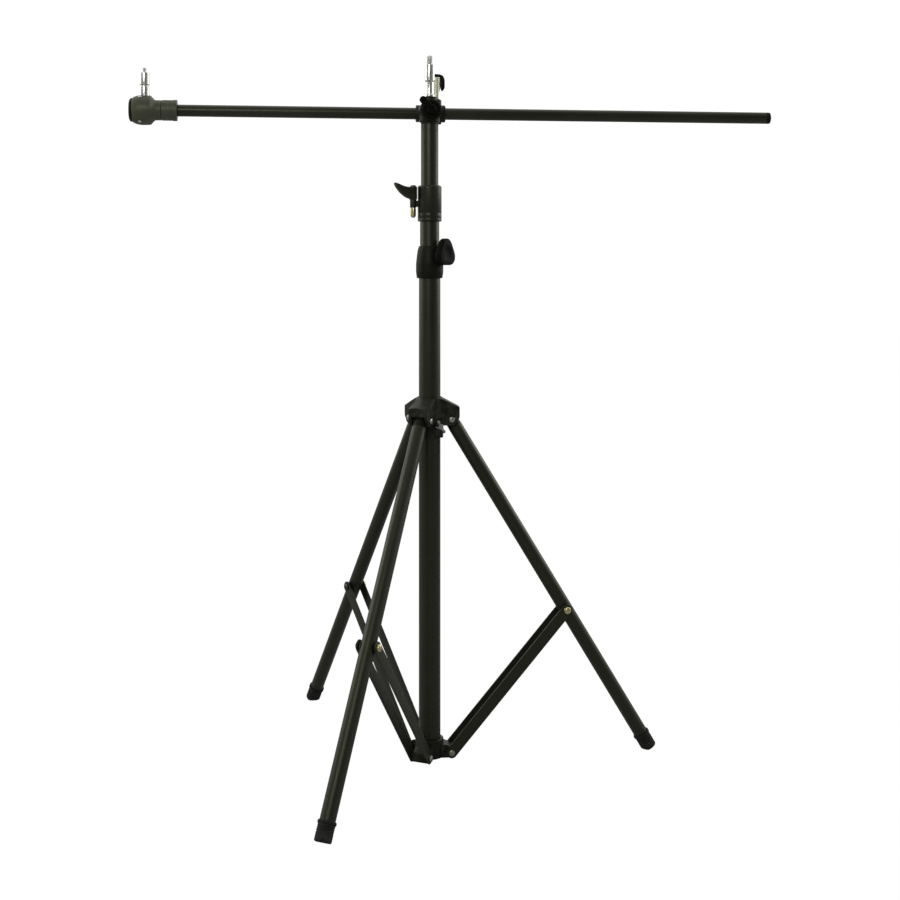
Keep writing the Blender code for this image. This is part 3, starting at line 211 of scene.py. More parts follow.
def join_rings(solid, rings, closed=False):
    """Walls between rings that have equally many points."""
    for ring, following in zip(rings, rings[1:] + (rings[:1] if closed else [])):
        for step in range(len(ring)):
            nxt = (step + 1) % len(ring)
            solid.faces.new([ring[step], ring[nxt], following[nxt], following[step]])


def threaded(radius, depth, pitch, low, high, place=MAST, sides=48, taper=0.0006):
    """A screw: the surface height follows the angle, so the ridge is a true helix."""
    solid = bmesh.new()
    rows = max(8, int((high - low) / pitch * 8))
    rings = []
    for row in range(rows + 1):
        z = low + (high - low) * row / rows
        ease = max(0.0, min(1.0, (z - low) / taper, (high - z) / taper))
        ring = []
        for step in range(sides):
            turn = step / sides
            wave = abs(((z / pitch - turn) % 1.0) * 2 - 1)
            r = radius - depth + depth * wave * ease - depth * 0.6 * (1 - ease)
            ring.append(solid.verts.new(polar(r, math.tau * turn, z)))
        rings.append(ring)
    join_rings(solid, rings)
    solid.faces.new(rings[0])
    solid.faces.new(rings[-1])
    solid.transform(place)
    return solid


print("solids ready")

# %% [markdown]
# ## From solid to piece
# Castings are joined and cut with Booleans. Most then get small bevels, like the radius that a
# mould leaves.

# %% Booleans, bevels and pieces
def to_mesh(name, solid):
    """Turn every face outward and write the solid to a new mesh."""
    bmesh.ops.recalc_face_normals(solid, faces=solid.faces[:])
    if solid.calc_volume(signed=True) < 0:
        bmesh.ops.reverse_faces(solid, faces=solid.faces[:])
    mesh = bpy.data.meshes.new(name)
    solid.to_mesh(mesh)
    solid.free()
    return mesh


def new_object(name, data):
    thing = bpy.data.objects.new(name, data)
    bpy.context.scene.collection.objects.link(thing)
    return thing


def evaluate(thing):
    """Apply the object's modifiers to its mesh."""
    bpy.context.view_layer.update()
    finished = thing.evaluated_get(bpy.context.evaluated_depsgraph_get())
    result = bpy.data.meshes.new_from_object(finished)
    thing.modifiers.clear()
    thing.data = result


def carve(name, start, joined=(), cut=(), soft=0.0):
    """Join solids to the first one, cut others out of it, and round its edges if asked."""
    thing = new_object(name, to_mesh(name, start))
    for operation, tools in (("UNION", joined), ("DIFFERENCE", cut)):
        for tool in tools:
            helper = new_object("helper", to_mesh("helper", tool))
            for mesh in (thing.data, helper.data):
                whole = bmesh.new()
                whole.from_mesh(mesh)
                bmesh.ops.triangulate(whole, faces=whole.faces[:])
                whole.to_mesh(mesh)
                whole.free()
            step = thing.modifiers.new(operation, "BOOLEAN")
            step.solver = "EXACT"
            step.operation = operation
            step.object = helper
            evaluate(thing)
            bpy.data.objects.remove(helper)
    whole = bmesh.new()
    whole.from_mesh(thing.data)
    bmesh.ops.remove_doubles(whole, verts=whole.verts[:], dist=2e-6)
    flat = math.radians(0.4)
    bmesh.ops.dissolve_limit(whole, angle_limit=flat, verts=whole.verts[:], edges=whole.edges[:])
    whole.to_mesh(thing.data)
    whole.free()
    if soft:
        edge = thing.modifiers.new("edge", "BEVEL")
        edge.width = soft
        edge.segments = 2
        edge.limit_method = "ANGLE"
        edge.angle_limit = math.radians(38)
        edge.use_clamp_overlap = True
        evaluate(thing)
    return thing


def piece(thing, material, body, *nodes, name=None):
    """Finish a shape, hang it on its body and let it stand for the plain solids."""
    name = name or nodes[0] + "_fine"
    if isinstance(thing, bmesh.types.BMesh):
        thing = new_object(name, to_mesh(name, thing))
    thing.name = name
    thing.data.materials.clear()
    thing.data.materials.append(material)
    thing.data.shade_smooth()
    thing.data.set_sharp_from_angle(angle=math.radians(40))
    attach(thing, body)
    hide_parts(*nodes)


def merged(*solids):
    """Several closed shells in one mesh, for details that sit on each other."""
    whole = bmesh.new()
    for solid in solids:
        mesh = to_mesh("shell", solid)
        whole.from_mesh(mesh)
        bpy.data.meshes.remove(mesh)
    mesh = bpy.data.meshes.new("merged")
    whole.to_mesh(mesh)
    whole.free()
    return new_object("merged", mesh)


print("piece tools ready")

# %% [markdown]
# ## Shader maths
# Node trees read better as sums. `Wire` wraps a socket so that `a * 2 + b` builds the Math nodes.

# %% Shader helper
class Wire:
    def __init__(self, tree, socket):
        self.tree = tree
        self.socket = socket

    def math(self, operation, *others):
        node = self.tree.nodes.new("ShaderNodeMath")
        node.operation = operation
        for i, value in enumerate((self,) + others):
            if isinstance(value, Wire):
                self.tree.links.new(value.socket, node.inputs[i])
            else:
                node.inputs[i].default_value = value
        return Wire(self.tree, node.outputs[0])

    def __add__(self, other):
        return self.math("ADD", other)

    def __mul__(self, other):
        return self.math("MULTIPLY", other)

    def above(self, low, high):
        """0 below low, 1 above high."""
        node = self.tree.nodes.new("ShaderNodeMapRange")
        node.inputs["From Min"].default_value = low
        node.inputs["From Max"].default_value = high
        self.tree.links.new(self.socket, node.inputs["Value"])
        return Wire(self.tree, node.outputs[0])


class Tree:
    def __init__(self, name):
        self.material = bpy.data.materials.new(name)
        self.material.use_nodes = True
        self.tree = self.material.node_tree
        self.shader = self.tree.nodes["Principled BSDF"]

    def node(self, kind, output=0, **inputs):
        node = self.tree.nodes.new(kind)
        for key, value in inputs.items():
            socket = node.inputs[key.replace("_", " ")]
            if isinstance(value, Wire):
                self.tree.links.new(value.socket, socket)
            else:
                socket.default_value = value
        return Wire(self.tree, node.outputs[output])

    def place(self, stretch=(1, 1, 1)):
        point = self.node("ShaderNodeTexCoord", "Object")
        return self.node("ShaderNodeMapping", Vector=point, Scale=stretch)

    def noise(self, scale, detail=3.0, rough=0.5, where=None):
        where = where or self.place()
        return self.node(
            "ShaderNodeTexNoise", "Fac", Vector=where, Scale=scale, Detail=detail, Roughness=rough)

    def mix(self, factor, first, second):
        node = self.tree.nodes.new("ShaderNodeMix")
        node.data_type = "RGBA"
        for socket, value in ((node.inputs[0], factor), (node.inputs[6], first), (node.inputs[7], second)):
            if isinstance(value, Wire):
                self.tree.links.new(value.socket, socket)
            else:
                socket.default_value = (*value, 1.0) if isinstance(value, tuple) else value
        return Wire(self.tree, node.outputs[2])

    def feed(self, key, wire):
        self.tree.links.new(wire.socket, self.shader.inputs[key])

    def bump(self, height, strength, distance):
        self.feed("Normal", self.node("ShaderNodeBump", Height=height, Strength=strength, Distance=distance))

    def const(self, **values):
        for key, value in values.items():
            self.shader.inputs[key.replace("_", " ")].default_value = value


print("shader helper ready")

# %% [markdown]
# ## Materials
# The stand is nearly all black, so what tells the pieces apart is the sheen: anodised tube with
# drawing lines, grained plastic, orange-peel paint on the castings, and bright plated screws.


def register(tree):
    return tree.material


def tube_material(name, stretch, olive, gloss=0.36):
    """Anodised tube: an olive-grey film over black, drawn along its length, scuffed by use."""
    t = Tree(name)
    lines = t.noise(900.0, 2.0, 0.6, t.place(stretch))
    cloud = t.noise(9.0, 4.0, 0.55)
    scuff = t.noise(60.0, 6.0, 0.7, t.place(tuple(0.35 + 0.65 * s for s in stretch))).above(0.60, 0.74)
    film = t.mix(cloud.above(0.35, 0.7), (0.0095, 0.0100, 0.0066), olive)
    film = t.mix(lines.above(0.45, 0.75) * 0.35, film, (0.022, 0.023, 0.016))
    t.feed("Base Color", t.mix(scuff * 0.30, film, (0.035, 0.036, 0.031)))
    t.feed("Roughness", lines * 0.10 + cloud * 0.08 + scuff * 0.12 + (gloss - 0.10))
    t.bump(lines, 0.06, 0.00004)
    t.const(Specular_IOR_Level=0.42, Specular_Tint=(0.92, 0.98, 0.70, 1.0))
    return register(t)


mast_tube = tube_material("mast_tube", (1, 1, 0.012), (0.0150, 0.0158, 0.0098))
boom_tube = tube_material("boom_tube", (0.012, 1, 1), (0.0200, 0.0210, 0.0150))
leg_tube = tube_material("leg_tube", (0.5, 0.5, 0.10), (0.0125, 0.0130, 0.0085), 0.40)
print("tube materials:", [m.name for m in (mast_tube, boom_tube, leg_tube)])

# %% Plastic, castings and rubber
def plastic_material(name, colour, rough, sheen=0.16):
    """Moulded plastic: a spark-eroded grain with polished spots where hands touch it."""
    t = Tree(name)
    fine = t.noise(2600.0, 2.0, 0.6)
    broad = t.noise(35.0, 3.0, 0.5)
    lighter = tuple(c * 1.9 + 0.004 for c in colour)
    t.feed("Base Color", t.mix(broad.above(0.4, 0.75) * 0.6, colour, lighter))
    t.feed("Roughness", fine * 0.16 + broad * 0.14 + (rough - 0.15))
    t.bump(fine, 0.22, 0.00005)
    t.const(Specular_IOR_Level=sheen, Specular_Tint=(0.95, 1.0, 0.78, 1.0))
    return register(t)


def casting_material(name, colour, rough, sheen=0.20):
    """Powder-coated casting: orange peel, with bare-looking wear where the edges are sharp."""
    t = Tree(name)
    peel = t.noise(420.0, 2.0, 0.45)
    broad = t.noise(28.0, 4.0, 0.6)
    edge = t.node("ShaderNodeNewGeometry", "Pointiness").above(0.53, 0.60)
    worn = edge * t.noise(90.0, 4.0, 0.6).above(0.45, 0.62)
    base = t.mix(broad.above(0.35, 0.75), colour, tuple(c * 1.7 + 0.003 for c in colour))
    t.feed("Base Color", t.mix(worn * 0.45, base, (0.060, 0.062, 0.050)))
    t.feed("Roughness", peel * 0.14 + broad * 0.12 + (rough - 0.13))
    t.bump(peel, 0.30, 0.00012)
    t.const(Specular_IOR_Level=sheen, Specular_Tint=(0.95, 1.0, 0.76, 1.0))
    return register(t)


def rubber_material():
    """Foot rubber: matt, with pale dust that gathers towards the floor."""
    t = Tree("foot_rubber")
    fine = t.noise(900.0, 4.0, 0.7)
    height = t.node("ShaderNodeSeparateXYZ", "Z", Vector=t.node("ShaderNodeTexCoord", "Object"))
    low = (height * -1.0).above(-0.030, 0.0)
    dust = t.noise(160.0, 5.0, 0.7).above(0.42, 0.72) * (low * 0.7 + 0.12)
    t.feed("Base Color", t.mix(dust, (0.0080, 0.0080, 0.0072), (0.060, 0.059, 0.052)))
    t.feed("Roughness", fine * 0.2 + dust * 0.15 + 0.62)
    t.bump(fine, 0.35, 0.00012)
    t.const(Specular_IOR_Level=0.25)
    return register(t)


plastic = plastic_material("black_plastic", (0.0052, 0.0055, 0.0036), 0.46)
grip_plastic = plastic_material("grip_plastic", (0.0034, 0.0036, 0.0026), 0.55, 0.06)
# Upper collar and lever: the black plastic with more gloss, and its colour painted lighter than the lower
# collar's as a painted highlight, since these parts face the light.
polished = plastic_material("gloss_plastic_painted_highlight", (0.0085, 0.0092, 0.0058), 0.36, 0.42)
liner = plastic_material("grey_slider", (0.030, 0.030, 0.030), 0.55)
casting = casting_material("black_casting", (0.0060, 0.0066, 0.0048), 0.44)
head_casting = casting_material("boom_head_casting", (0.0470, 0.0500, 0.0310), 0.42, 0.45)
rubber = rubber_material()
print("plastics and castings ready")

# %% Plated metal and brass
def metal_material(name, colour, tarnish, rough):
    """Turned metal: rings left by the tool, a wandering polish and a little tarnish."""
    t = Tree(name)
    broad = t.noise(45.0, 4.0, 0.6)
    speck = t.noise(700.0, 2.0, 0.5)
    rings = t.noise(2200.0, 1.0, 0.5, t.place((0.02, 0.02, 1)))
    t.feed("Base Color", t.mix(broad.above(0.40, 0.78) * 0.5, colour, tarnish))
    t.feed("Roughness", broad * 0.10 + speck * 0.06 + rings * 0.06 + (rough - 0.10))
    t.bump(rings, 0.10, 0.00001)
    t.const(Metallic=1.0)
    return register(t)


chrome = metal_material("chrome_plate", (0.74, 0.75, 0.70), (0.52, 0.53, 0.47), 0.20)
satin = metal_material("satin_nickel", (0.95, 0.95, 0.76), (0.84, 0.84, 0.62), 0.40)
zinc = metal_material("zinc_plate", (0.36, 0.37, 0.34), (0.20, 0.20, 0.18), 0.34)
bolt_zinc = metal_material("bolt_plating", (0.40, 0.41, 0.33), (0.26, 0.26, 0.20), 0.36)
dark_zinc = metal_material("dark_zinc", (0.10, 0.10, 0.095), (0.05, 0.05, 0.047), 0.38)
brass = metal_material("turned_brass", (0.64, 0.56, 0.30), (0.38, 0.30, 0.13), 0.27)
print("metals:", [m.name for m in (chrome, satin, zinc, dark_zinc, brass)])

# %% [markdown]
# ## Copies round an axis
# Three hub bolts, three leg bolts and the grip ribs all follow one rule: the same shape, turned
# in equal steps. A Geometry Nodes group does the turning.

# %% Geometry Nodes: copies in equal turns
def ring_group():
    group = bpy.data.node_groups.new("equal_turns", "GeometryNodeTree")
    face = group.interface
    kinds = {"Geometry": "Geometry", "Count": "Int", "Material": "Material"}
    inputs = {}
    for label, kind in kinds.items():
        socket = face.new_socket(label, in_out="INPUT", socket_type="NodeSocket" + kind)
        inputs[label] = socket.identifier
    face.new_socket("Geometry", in_out="OUTPUT", socket_type="NodeSocketGeometry")
    new = group.nodes.new
    source, result = new("NodeGroupInput"), new("NodeGroupOutput")
    points, index = new("GeometryNodePoints"), new("GeometryNodeInputIndex")
    share, turn = new("ShaderNodeMath"), new("ShaderNodeMath")
    share.operation, turn.operation = "DIVIDE", "MULTIPLY"
    share.inputs[0].default_value = math.tau
    euler, copies = new("ShaderNodeCombineXYZ"), new("GeometryNodeInstanceOnPoints")
    real, paint_it = new("GeometryNodeRealizeInstances"), new("GeometryNodeSetMaterial")
    links = (
        (source, "Count", points, "Count"), (source, "Count", share, 1), (index, 0, turn, 0),
        (share, 0, turn, 1), (turn, 0, euler, "Z"), (points, 0, copies, "Points"),
        (source, "Geometry", copies, "Instance"), (euler, 0, copies, "Rotation"),
        (copies, 0, real, 0), (real, 0, paint_it, "Geometry"),
        (source, "Material", paint_it, "Material"), (paint_it, 0, result, 0))
    for giver, output, taker, entry in links:
        group.links.new(giver.outputs[output], taker.inputs[entry])
    return group, inputs


EQUAL_TURNS, TURN_INPUTS = ring_group()


def in_turns(solid, count, material):
    thing = new_object("turns", to_mesh("turns", solid))
    copies = thing.modifiers.new("copies", "NODES")
    copies.node_group = EQUAL_TURNS
    copies[TURN_INPUTS["Count"]] = count
    copies[TURN_INPUTS["Material"]] = material
    evaluate(thing)
    return thing


print("node group:", EQUAL_TURNS.name, "with", len(EQUAL_TURNS.nodes), "nodes")

# %% [markdown]
# ## Screws and nuts
# A button-head bolt has a domed head with a hexagon socket; the brass nuts are domed hexagons.

# %% Fastener shapes
def socket_cut(size, top, depth, place):
    """A hexagon hole for a key."""
    hexagon = [polar(size, math.tau * i / 6) for i in range(6)]
    return slab(hexagon, top - depth, top + depth, place)


def dome(radius, low, high, crown=0.45, steps=8):
    """Outline of a domed head from its seat to its crown."""
    wall = low + (high - low) * (1 - crown)
    points = [(radius, low), (radius, wall)]
    for step in range(1, steps + 1):
        angle = math.pi / 2 * step / steps
        reach = radius * math.cos(angle) if step < steps else 0.0
        points.append((reach, wall + (high - wall) * math.sin(angle)))
    return points


def through_bolt(shank, head, seat, end, place):
    """Head on one side, head-like nut on the other, a shank between."""
    upper = [(shank, seat)] + dome(head, seat, end)
    lower = [(r, -z) for r, z in reversed(upper)]
    return turned(lower + upper, 48, place)


def hex_nut(bore, radius, low, high, place):
    """A hexagon whose corners are turned down by a cone, as nuts are chamfered."""
    solid = bmesh.new()
    angles = [math.tau * step / 48 for step in range(48)]
    chamfer = (high - low) * 0.16
    rings = []
    for share, z in ((0.86, low), (1.0, low + chamfer), (1.0, high - chamfer), (0.86, high)):
        ring = []
        for angle in angles:
            from_flat = (angle + math.pi / 6) % (math.pi / 3) - math.pi / 6
            reach = min(radius * math.cos(math.pi / 6) / math.cos(from_flat), radius * share)
            ring.append(solid.verts.new(polar(reach, angle, z)))
        rings.append(ring)
    for z in (high, low):
        rings.append([solid.verts.new(polar(bore, angle, z)) for angle in angles])
    join_rings(solid, rings, closed=True)
    solid.transform(place)
    return solid


print("fasteners ready")

# %% [markdown]
# ## The mast
# Three tubes slide in each other. Each moving tube runs on a plastic plug below, which stays
# hidden, so those solids only change their material.

# %% Mast tubes
foot_rim, plug_depth = 0.003, 0.014
column_bore = COLUMN_R - COLUMN_WALL
plug = column_bore - GAP
piece(pipe(column_bore, COLUMN_R, foot_rim + GAP, COLUMN_TOP), mast_tube, "base", "column_tube")
middle = pipe(MIDDLE_R - TUBE_WALL, MIDDLE_R, SEAT_TOP - TUBE_LENGTH, SEAT_TOP)
piece(middle, mast_tube, "mast_middle", "middle_tube")
upper = pipe(UPPER_R - TUBE_WALL, UPPER_R, UPPER_TOP - TUBE_LENGTH, UPPER_TOP)
piece(upper, mast_tube, "mast_upper", "upper_tube")
disc = [(0, 0), (COLUMN_R, 0), (COLUMN_R, foot_rim), (plug, foot_rim), (plug, plug_depth), (0, plug_depth)]
piece(turned(fillet(disc, 0.0006), 96), plastic, "base", "column_foot")
print("mast tubes done")

# %% Plugs that the tubes hide
hidden = {"middle_plug": liner, "upper_plug": liner, "mast_top_plug": casting, "pan_bolt": zinc}
for name, material in hidden.items():
    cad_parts[name].data.materials[0] = material
print("hidden pieces painted:", list(hidden))

# %% [markdown]
# ## The collars
# The lower collar is a moulded barrel that narrows to the middle tube, with a boss for its
# knob. The upper collar is a split sleeve that the lever pulls shut on its bolt.

# %% Lower collar
low, top = LOWER_COLLAR
height = top - low
seat, step = MIDDLE_R + GAP, COLUMN_TOP + GAP
boss_face = 0.0238
barrel = [(0.0208, low), (0.0222, low + height * 0.2), (0.0222, low + height * 0.45)]
barrel += [(0.0208, low + height * 0.7), (0.0194, low + height * 0.88), (seat + 0.0015, top)]
barrel += [(seat, top), (seat, step), (COLUMN_R + GAP, step), (COLUMN_R + GAP, low)]
knob_place = outward(math.radians(-40), low + 0.0400)
boss = rod(0.0090, 0.0165, boss_face, 64, knob_place, 0.0006)
screw_way = rod(SCREW_WAY, 0.010, 0.040, 32, knob_place)
body = carve("lower_collar", turned(fillet(barrel, 0.0012, 5, False), 96), [boss], [screw_way], 0.0003)
piece(body, plastic, "base", "lower_collar")
print("lower collar done")

# %% Knob of the lower collar
def lobed(radius, dip, count, steps=120):
    """Outline with rounded lobes, one of them pointing up when the axis is level."""
    points = []
    for step in range(steps):
        angle = math.tau * step / steps
        reach = radius - dip * (1 + math.cos(count * angle)) / 2
        points.append(polar(reach, angle))
    return points


knob_low = boss_face + GAP
knob_top = knob_low + 0.0115
knob = slab(lobed(0.0240, 0.0050, 3), knob_low, knob_top, knob_place, 0.0020)
above = knob_top + 0.0010
dish = turned([(0, knob_top - 0.0020), (0.0080, knob_top - 0.0014), (0.0130, above), (0, above)],
              64, knob_place)
hole = rod(SCREW_WAY, 0.010, knob_top - 0.0031, 32, knob_place)
piece(carve("knob", knob, [], [dish, hole], 0.0004), grip_plastic, "lower_knob", "lower_knob")
screw = threaded(SCREW_R, 0.0003, 0.0010, 0.0160, knob_top - 0.00345, knob_place)
piece(screw, zinc, "lower_knob", "lower_knob_screw")
print("knob done")

# %% Upper collar
low, top = UPPER_COLLAR
collar_r, shoulder_r = 0.01945, 0.0040
below, beyond = low - 0.02, top + 0.02
ear_side = spin(math.radians(188))
ear_x, ear_low, ear_top = 0.0275, low + 0.022, low + 0.0346
EAR = ear_side @ shift(ear_x, 0, 0)
web = slab(plate(0.0170, ear_x, 0.0035), ear_low + 0.0013, ear_top - 0.0013, ear_side, 0.0005)
ear = rod(0.0053, ear_low, ear_top, 48, EAR, 0.0006)
slit = slab(plate(0.010, 0.040, 0.001), top - 0.022, top + 0.01, ear_side)
cuts = [rod(UPPER_R + GAP, below, beyond, 96), rod(MIDDLE_R + GAP, below, SEAT_TOP + GAP, 96)]
cuts += [rod(BOLT_WAY, below, beyond, 32, EAR), slit]
cuts += [pipe(0.01925, 0.0220, low + z, low + z + 0.0009, 96, soft=0.0002) for z in (0.0045, 0.0125)]
shoulder = arc((collar_r - shoulder_r, top - shoulder_r), shoulder_r, 0, 90, 10)
sleeve = turned([(0, low), (collar_r - 0.0005, low), (collar_r, low + 0.0005)] + shoulder + [(0, top)], 96)
# The upper collar's colour is painted lighter than the lower collar's, a painted highlight.
piece(carve("upper_collar", sleeve, [web, ear], cuts, 0.0003), polished, "mast_middle", "upper_collar")
print("upper collar done")

# %% [markdown]
# ## The quick-release lever
# The lever is a duck's bill: a hub on the bolt and a blade that thins and curls up to its tip.
# It is lofted from rounded sections, so its top catches one long highlight.

# %% Lever
def loft(sections, place, corner=0.35, around=28):
    """Rounded-rectangle sections given as (x, low, high, half width)."""
    solid = bmesh.new()
    rings = []
    for x, low_z, high_z, half in sections:
        mid, tall = (low_z + high_z) / 2, (high_z - low_z) / 2
        ring = []
        for step in range(around):
            angle = math.tau * step / around
            c, s = math.cos(angle), math.sin(angle)
            ring.append(solid.verts.new((x, half * math.copysign(abs(c) ** corner, c),
                                         mid + tall * math.copysign(abs(s) ** corner, s))))
        rings.append(ring)
    join_rings(solid, rings)
    solid.faces.new(rings[0])
    solid.faces.new(rings[-1])
    solid.transform(place)
    return solid


lever_low, lever_height, lever_reach = ear_top + GAP, 0.021, 0.0315
lever_top = lever_low + lever_height
# share of the reach, underside as a share of the height, top above the hub, half width
shares = (
    (-0.02, 0.04, -0.0009, 0.0060), (0.06, 0.04, -0.0006, 0.0068), (0.22, 0.07, -0.0005, 0.0069),
    (0.38, 0.16, 0.0000, 0.0069), (0.52, 0.30, 0.0012, 0.0068), (0.66, 0.48, 0.0030, 0.0067),
    (0.78, 0.68, 0.0046, 0.0066), (0.88, 0.88, 0.0056, 0.0063), (0.95, 1.06, 0.0061, 0.0058),
    (0.985, 1.16, 0.0062, 0.0050))
blade = []
for out, floor_share, crown, half in shares:
    blade.append((lever_reach * out, lever_low + lever_height * floor_share, lever_top + crown, half))
hub = rod(0.0065, lever_low, lever_top, 64, EAR, 0.0008)
bolt_way = rod(BOLT_WAY, lever_low - 0.01, lever_top + 0.01, 32, EAR)
# The lever's colour is painted lighter too, a painted highlight.
piece(carve("lever", loft(blade, EAR), [hub], [bolt_way], 0.0003), polished, "collar_lever", "collar_lever")
print("lever done")

# %% Lever's bolt and nut
nut_top, nut_height, head_low = ear_low - GAP, 0.0146, lever_top + GAP
bolt_low = nut_top - nut_height - 0.0015
bolt = [(0, bolt_low), (BOLT_R, bolt_low), (BOLT_R, head_low), (0.0045, head_low)]
bolt += [(0.0045, head_low + 0.0012), (0.0038, head_low + 0.0021), (0, head_low + 0.0025)]
socket = socket_cut(0.0020, head_low + 0.0026, 0.0012, EAR)
body = carve("lever_bolt", turned(fillet(bolt, 0.0004), 48, EAR), cut=[socket])
piece(body, zinc, "mast_middle", "lever_bolt")
piece(hex_nut(0.0032, 0.0047, nut_top - nut_height, nut_top, EAR), brass, "mast_middle", "lever_nut")
print("lever's bolt done")

# %% [markdown]
# ## The mast's head
# A round casting that pans on the mast. Its chrome spigot has a waist that a lamp's screw
# grips, and a threaded tip.

# %% Head and mast spigot
head_round = rod(0.0179, -0.0200, 0.0180, 96, TILT, 0.0016)
neck = rod(0.0165, HEAD_LOW, BOOM_Z, 96, MAST, 0.0006)
crown = rod(0.0120, BOOM_Z, HEAD_TOP, 72, MAST, 0.0008)
stud_r, stud_way, thread = 0.0050, 0.0053, 0.0103
cuts = [rod(0.0063, -0.040, 0.040, 48, TILT), rod(stud_way, HEAD_LOW - 0.01, HEAD_LOW + thread, 48),
        rod(stud_way, HEAD_TOP - thread, HEAD_TOP + 0.01, 48)]
piece(carve("head_body", head_round, [neck, crown], cuts, 0.0005), casting, "head", "head_body")

base, stud_low = HEAD_TOP + GAP, HEAD_TOP - 0.0100
top, waist_r = base + 0.0524, 0.0061
spigot = [(0, stud_low), (stud_r, stud_low), (stud_r, base), (SPIGOT_R, base), (SPIGOT_R, base + 0.0035)]
spigot += [(waist_r, base + 0.0050), (waist_r, base + 0.0245), (SPIGOT_R, base + 0.0260)]
spigot += [(SPIGOT_R, top), (0, top)]
tip = threaded(0.0047, 0.0006, 0.0016, top - 0.001, top + 0.0146, sides=64, taper=0.0012)
piece(merged(turned(fillet(spigot, 0.0007, 4), 96), tip), chrome, "head", "mast_spigot")
print("head and mast spigot done")

# %% [markdown]
# ## Boom clamp, its screw and the tilt knob
# The boom slides through a cast ring. A chrome stem with a black wing on top locks it, and the
# big knob in front holds the tilt.

# %% Boom clamp
boss_top = 0.0226
UP = shift(0.0145, BOOM_Y, BOOM_Z)
ring = rod(0.0140, -0.019, 0.029, 96, BOOM, 0.0010)
pad = rod(0.01075, 0.0183, BOOM_Y, 64, TILT)
pin_end, pin_step, pin_root = -0.0288, -0.0203, BOOM_Y - BOOM_R
pin = turned([(0, pin_end), (0.0040, pin_end), (0.0040, pin_step), (0.0060, pin_step), (0.0060, pin_root),
              (0, pin_root)], 48, TILT)
boss = rod(0.0086, -0.0170, boss_top, 64, UP, 0.0010)
cuts = [rod(BOOM_R + GAP, -0.06, 0.06, 96, BOOM), rod(SCREW_WAY, BOOM_R / 2, 0.05, 32, UP)]
cuts += [pipe(0.01365, 0.020, x, x + 0.0012, 96, BOOM, 0.0002) for x in (-0.0165, -0.0135)]
piece(carve("clamp", ring, [pad, pin, boss], cuts, 0.0004), casting, "boom_clamp", "boom_clamp")
print("clamp done")

# %% Clamp screw and its wing
low = boss_top + GAP
top = low + 0.0370
stem = [(0, 0.0099), (SCREW_R, 0.0099), (SCREW_R, low), (0.0053, low), (0.0063, low + 0.0010)]
stem += [(0.0063, top), (0, top)]
piece(turned(fillet(stem, 0.0006), 72, UP), satin, "clamp_screw", "clamp_screw")
cap_low, cap_top = top + GAP, top + GAP + 0.005
wing_low, skirt, reach = cap_top - 0.029, 0.0066, 0.0140
outline = [(0, cap_low), (skirt, cap_low), (skirt, wing_low + 0.0073), (0.0096, wing_low)]
outline += [(reach, wing_low + 0.0058), (reach, wing_low + 0.0203), (0.0112, wing_low + 0.0267)]
outline += [(0.0050, cap_top), (0, cap_top)]
upright = UP @ about("X", math.pi / 2)
wing = slab(fillet(outline, 0.0030, 5, False), -0.0035, 0.0035, upright, 0.0014)
cap = rod(0.00535, cap_low + 0.0002, cap_top - 0.0002, 64, UP, 0.0012)
piece(carve("wing", wing, [cap]), plastic, "clamp_screw", "clamp_screw_wing")
print("clamp screw done")

# %% Tilt knob
back, disc_r, hub_r = -0.0206, 0.0150, 0.0080
front = back - 0.0070
disc = turned(fillet([(0, front), (disc_r, front), (disc_r, back), (0, back)], 0.0016, 6), 96, TILT)
bar = [(0.0100, -0.0024), (0.0100, 0.0024), (0, 0.0044)]
bar += arc((-0.0203, 0), 0.0055, 90, 270, 20) + [(0, -0.0044)]
wing_place = TILT @ spin(math.radians(47))
grip = slab(fillet(bar, 0.0015, 3, False), front - 0.0064, front + 0.0017, wing_place, 0.0014)
crown = [(0, front - 0.0062)] + arc((0, front - 0.0012), hub_r, -38, -2, 8)
crown = turned(crown + [(hub_r, front + 0.001), (0, front + 0.001)], 64, TILT)
thumb = [(0, front - 0.0110), (0.0042, front - 0.0110), (0.0030, front - 0.0054), (0, front - 0.0052)]
thumb = turned(thumb, 48, wing_place @ shift(-0.0196, 0, 0))
nut_way = rod(0.0043, back + 0.002, back - 0.0085, 32, TILT)
body = carve("tilt_knob", disc, [grip, crown], [nut_way, thumb])
piece(body, grip_plastic, "tilt_knob", "tilt_knob")
print("tilt knob done")

# %% [markdown]
# ## The boom
# A thin tube with a plastic cap on its right end. On the left a rounded head, closed by a cap
# and two screws, holds the second spigot; a hand-tightened ring locks it.

# %% Boom tube and cap
bore = BOOM_R - 0.0014
inside, low = BOOM_RIGHT - 0.014, BOOM_RIGHT + GAP
high = low + 0.0065
piece(pipe(bore, BOOM_R, BOOM_LEFT, BOOM_RIGHT, 72, BOOM), boom_tube, "boom", "boom_tube")
end_cap = [(0, inside), (bore - GAP, inside), (bore - GAP, low), (BOOM_R, low), (BOOM_R, high), (0, high)]
piece(turned(fillet(end_cap, 0.0014, 6), 72, BOOM), plastic, "boom", "boom_end_cap")
print("boom tube done")

# %% Lock ring
ring_r, lip_r, rib_r = 0.0164, 0.0171, 0.01655
low = HEAD_FACE + GAP
high = low + 0.0246
lip = high - 0.007
ring_bore = BOOM_R + GAP
collar = [(ring_bore, low), (ring_r, low), (ring_r, lip), (lip_r, lip), (lip_r, high), (ring_bore, high)]
rib = fillet([(0.0160, -0.0005), (rib_r, -0.0004), (rib_r, 0.0004), (0.0160, 0.0005)], 0.0002, 2, False)
turns = in_turns(slab(rib, low + 0.0018, lip - 0.0012), 48, head_casting)
ribs = bmesh.new()
ribs.from_mesh(turns.data)
bpy.data.objects.remove(turns)
ring = merged(turned(fillet(collar, 0.0006, 4, False), 96), ribs)
ring.data.transform(BOOM)
piece(ring, head_casting, "boom_ring", "boom_ring")
print("lock ring done")

